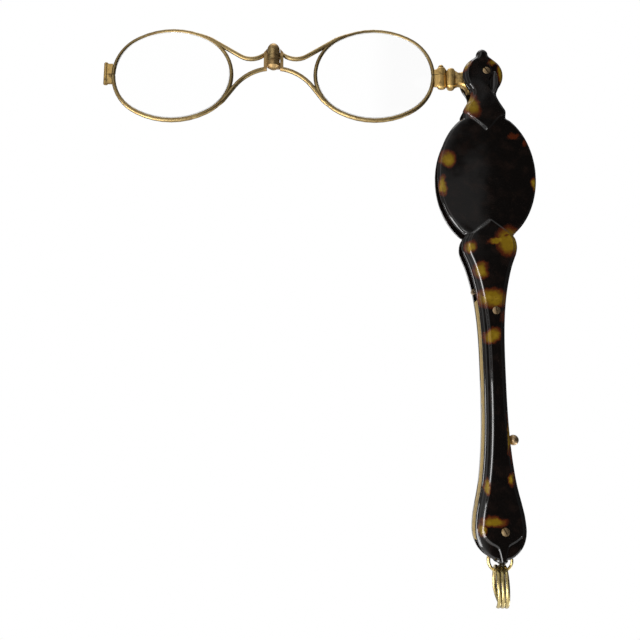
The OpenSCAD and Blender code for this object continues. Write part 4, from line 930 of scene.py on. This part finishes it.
def small_ring():
    low, high = node_box("small_ring")
    middle_z = (low[2] + high[2]) / 2
    radius = (high[2] - low[2] - SMALL_WIRE) / 2
    pitch = high[1] - low[1] - SMALL_WIRE

    def place(p):
        return (PLATE_X + p[0], -p[2], middle_z + p[1])

    points, faces = wound_wire(radius, pitch, SMALL_WIRE, SMALL_WIRE_WIDE, SMALL_TURNS, place)
    piece_in_place_of("small_ring", points, faces, "small_ring", WIRE_SMOOTH)


def split_ring():
    low, high = node_box("split_ring")
    middle_z = (low[2] + high[2]) / 2
    radius = (high[2] - low[2] - SPLIT_WIRE) / 2 - SPLIT_INSET
    cos_t, sin_t = math.cos(math.radians(SPLIT_TURN_DEG)), math.sin(math.radians(SPLIT_TURN_DEG))

    def place(p):
        """The wire starts at the ring's lowest point and rises in front."""
        x, y, z = -p[1], -p[2], -p[0]
        return (PLATE_X + sin_t * x - cos_t * y, cos_t * x + sin_t * y, middle_z + z)

    points, faces = wound_wire(
        radius, SPLIT_PITCH, SPLIT_WIRE, SPLIT_WIRE_WIDE, SPLIT_TURNS, place
    )
    piece_in_place_of(
        "split_ring", points, flipped(faces), "split_ring", WIRE_SMOOTH
    )


# Light, floor and camera

# Lamps: place, aim, width and height, and power in watts
LAMPS = {
    "key": ((-320, -62, -15), (0, -20, 60), (65, 90), 0.2),
    "grip": ((-320, -8, 130), (0, 0, 20), (40, 70), 0.03),
    "fill": ((-230, -400, -200), (-30, 0, 30), (160, 120), 0.6),
    "low": ((-300, -80, -160), (0, 0, 10), (160, 220), 1.1),
    "top": ((-60, 40, 480), (-20, 0, 60), (300, 200), 0.4),
    "right": ((200, 128, -230), (0, 0, -40), (90, 90), 0.2),
}
WHITE = (1.0, 1.0, 1.0)

# Greys of the room around the object. The two cards show in the lens cover and in the head
ROOM_RIGHT, ROOM_LEFT = 0.10, 0.28
FRONT_LEFT, FRONT_RIGHT = 0.9, 0.022
COVER_CARD, HEAD_CARD = 0.27, 0.36
BEHIND, OVERHEAD = 0.06, 0.55

FLOOR_Z, FLOOR_R, FLOOR_SIDES = -300.0, 420.0, 96
FLOOR_GREY, FLOOR_GLOW = 0.8, 0.45


def area_light(name, at, aim, size, power):
    data = bpy.data.lights.new(name, "AREA")
    data.shape = "RECTANGLE"
    data.size, data.size_y = size[0] * MM, size[1] * MM
    data.energy = power
    light = bpy.data.objects.new(name, data)
    light.location = Vector(at) * MM
    light.rotation_euler = (Vector(aim) - Vector(at)).to_track_quat("-Z", "Y").to_euler()
    bpy.context.scene.collection.objects.link(light)


def grey(value):
    return (value, value, value)


def studio_world():
    """A dim room, with grey cards in front and a white backdrop behind the object.

    The parts x, y and z of a ray's direction say where in the room it ends. A span over one of
    them is the soft edge of an area.
    """
    world = bpy.data.worlds.new("studio")
    bpy.context.scene.world = world
    world.use_nodes = True
    nt = Nodes(world.node_tree)
    nt.tree.nodes.clear()
    way = nt.add("ShaderNodeTexCoord").outputs["Generated"]
    parts = nt.add("ShaderNodeSeparateXYZ", {0: way}).outputs
    x, y, z = parts["X"], parts["Y"], parts["Z"]

    front = nt.mix(nt.span(x, 0.05, 0.13), grey(FRONT_LEFT), grey(FRONT_RIGHT))
    slanted_z = nt.math("SUBTRACT", z, nt.math("MULTIPLY", x, 0.3))
    cover_edges = (
        nt.span(x, 0.225, 0.195), nt.span(z, 0.245, 0.26), nt.span(slanted_z, 0.325, 0.313),
    )
    front = nt.mix(nt.chain("MULTIPLY", *cover_edges), front, grey(COVER_CARD))
    head_edges = (
        nt.span(x, 0.214, 0.208), nt.span(x, 0.178, 0.184),
        nt.span(z, 0.425, 0.433), nt.span(z, 0.462, 0.455),
    )
    front = nt.mix(nt.chain("MULTIPLY", *head_edges), front, grey(HEAD_CARD))

    room = nt.mix(nt.span(x, -0.15, -0.6), grey(ROOM_RIGHT), grey(ROOM_LEFT))
    room = nt.mix(nt.span(y, -0.55, -0.8), room, front)
    room = nt.mix(nt.span(y, 0.05, 0.2), room, grey(BEHIND))
    room = nt.mix(nt.span(z, 0.6, 0.85), room, grey(OVERHEAD))

    path = nt.add("ShaderNodeLightPath").outputs
    mirrored = nt.math("MULTIPLY", path["Is Glossy Ray"], nt.span(y, 0.88, 0.95))
    seen = nt.chain("MAXIMUM", path["Is Camera Ray"], path["Is Transmission Ray"], mirrored)
    inputs = {"Color": nt.mix(seen, room, WHITE), "Strength": 1.0}
    shader = nt.add("ShaderNodeBackground", inputs).outputs[0]
    nt.add("ShaderNodeOutputWorld", {"Surface": shader})


def floor():
    """A pale disc well under the object, outside the photograph's frame."""
    ring = [(FLOOR_R * math.cos(a), FLOOR_R * math.sin(a), FLOOR_Z) for a in circle(FLOOR_SIDES)]
    disc = new_object("floor", ring, [list(range(FLOOR_SIDES))])
    material, nt, shader = new_material("floor")
    path = nt.add("ShaderNodeLightPath").outputs
    rays = [path[f"Is {kind} Ray"] for kind in ("Camera", "Glossy", "Transmission")]
    glow = nt.math("MULTIPLY", nt.chain("MAXIMUM", *rays), FLOOR_GLOW)
    feed(
        nt, shader, Base_Color=grey(FLOOR_GREY), Roughness=0.8, Emission_Color=WHITE,
        Emission_Strength=glow,
    )
    disc.data.materials.append(material)


def camera():
    data = bpy.data.cameras.new("camera")
    data.lens, data.sensor_width = CAMERA_LENS, CAMERA_SENSOR
    data.clip_start, data.clip_end = CAMERA_CLIP
    cam = bpy.data.objects.new("camera", data)
    cam.location = CAMERA_AT * MM
    cam.rotation_euler = (math.radians(90 + CAMERA_UP_DEG), 0, math.radians(-CAMERA_RIGHT_DEG))
    bpy.context.scene.collection.objects.link(cam)
    bpy.context.scene.camera = cam


cad_pieces()
plates()
screws()
spacers()
small_ring()
split_ring()

studio_world()
for lamp, values in LAMPS.items():
    area_light(lamp, *values)
floor()
camera()
bpy.context.scene.view_settings.view_transform = "Standard"
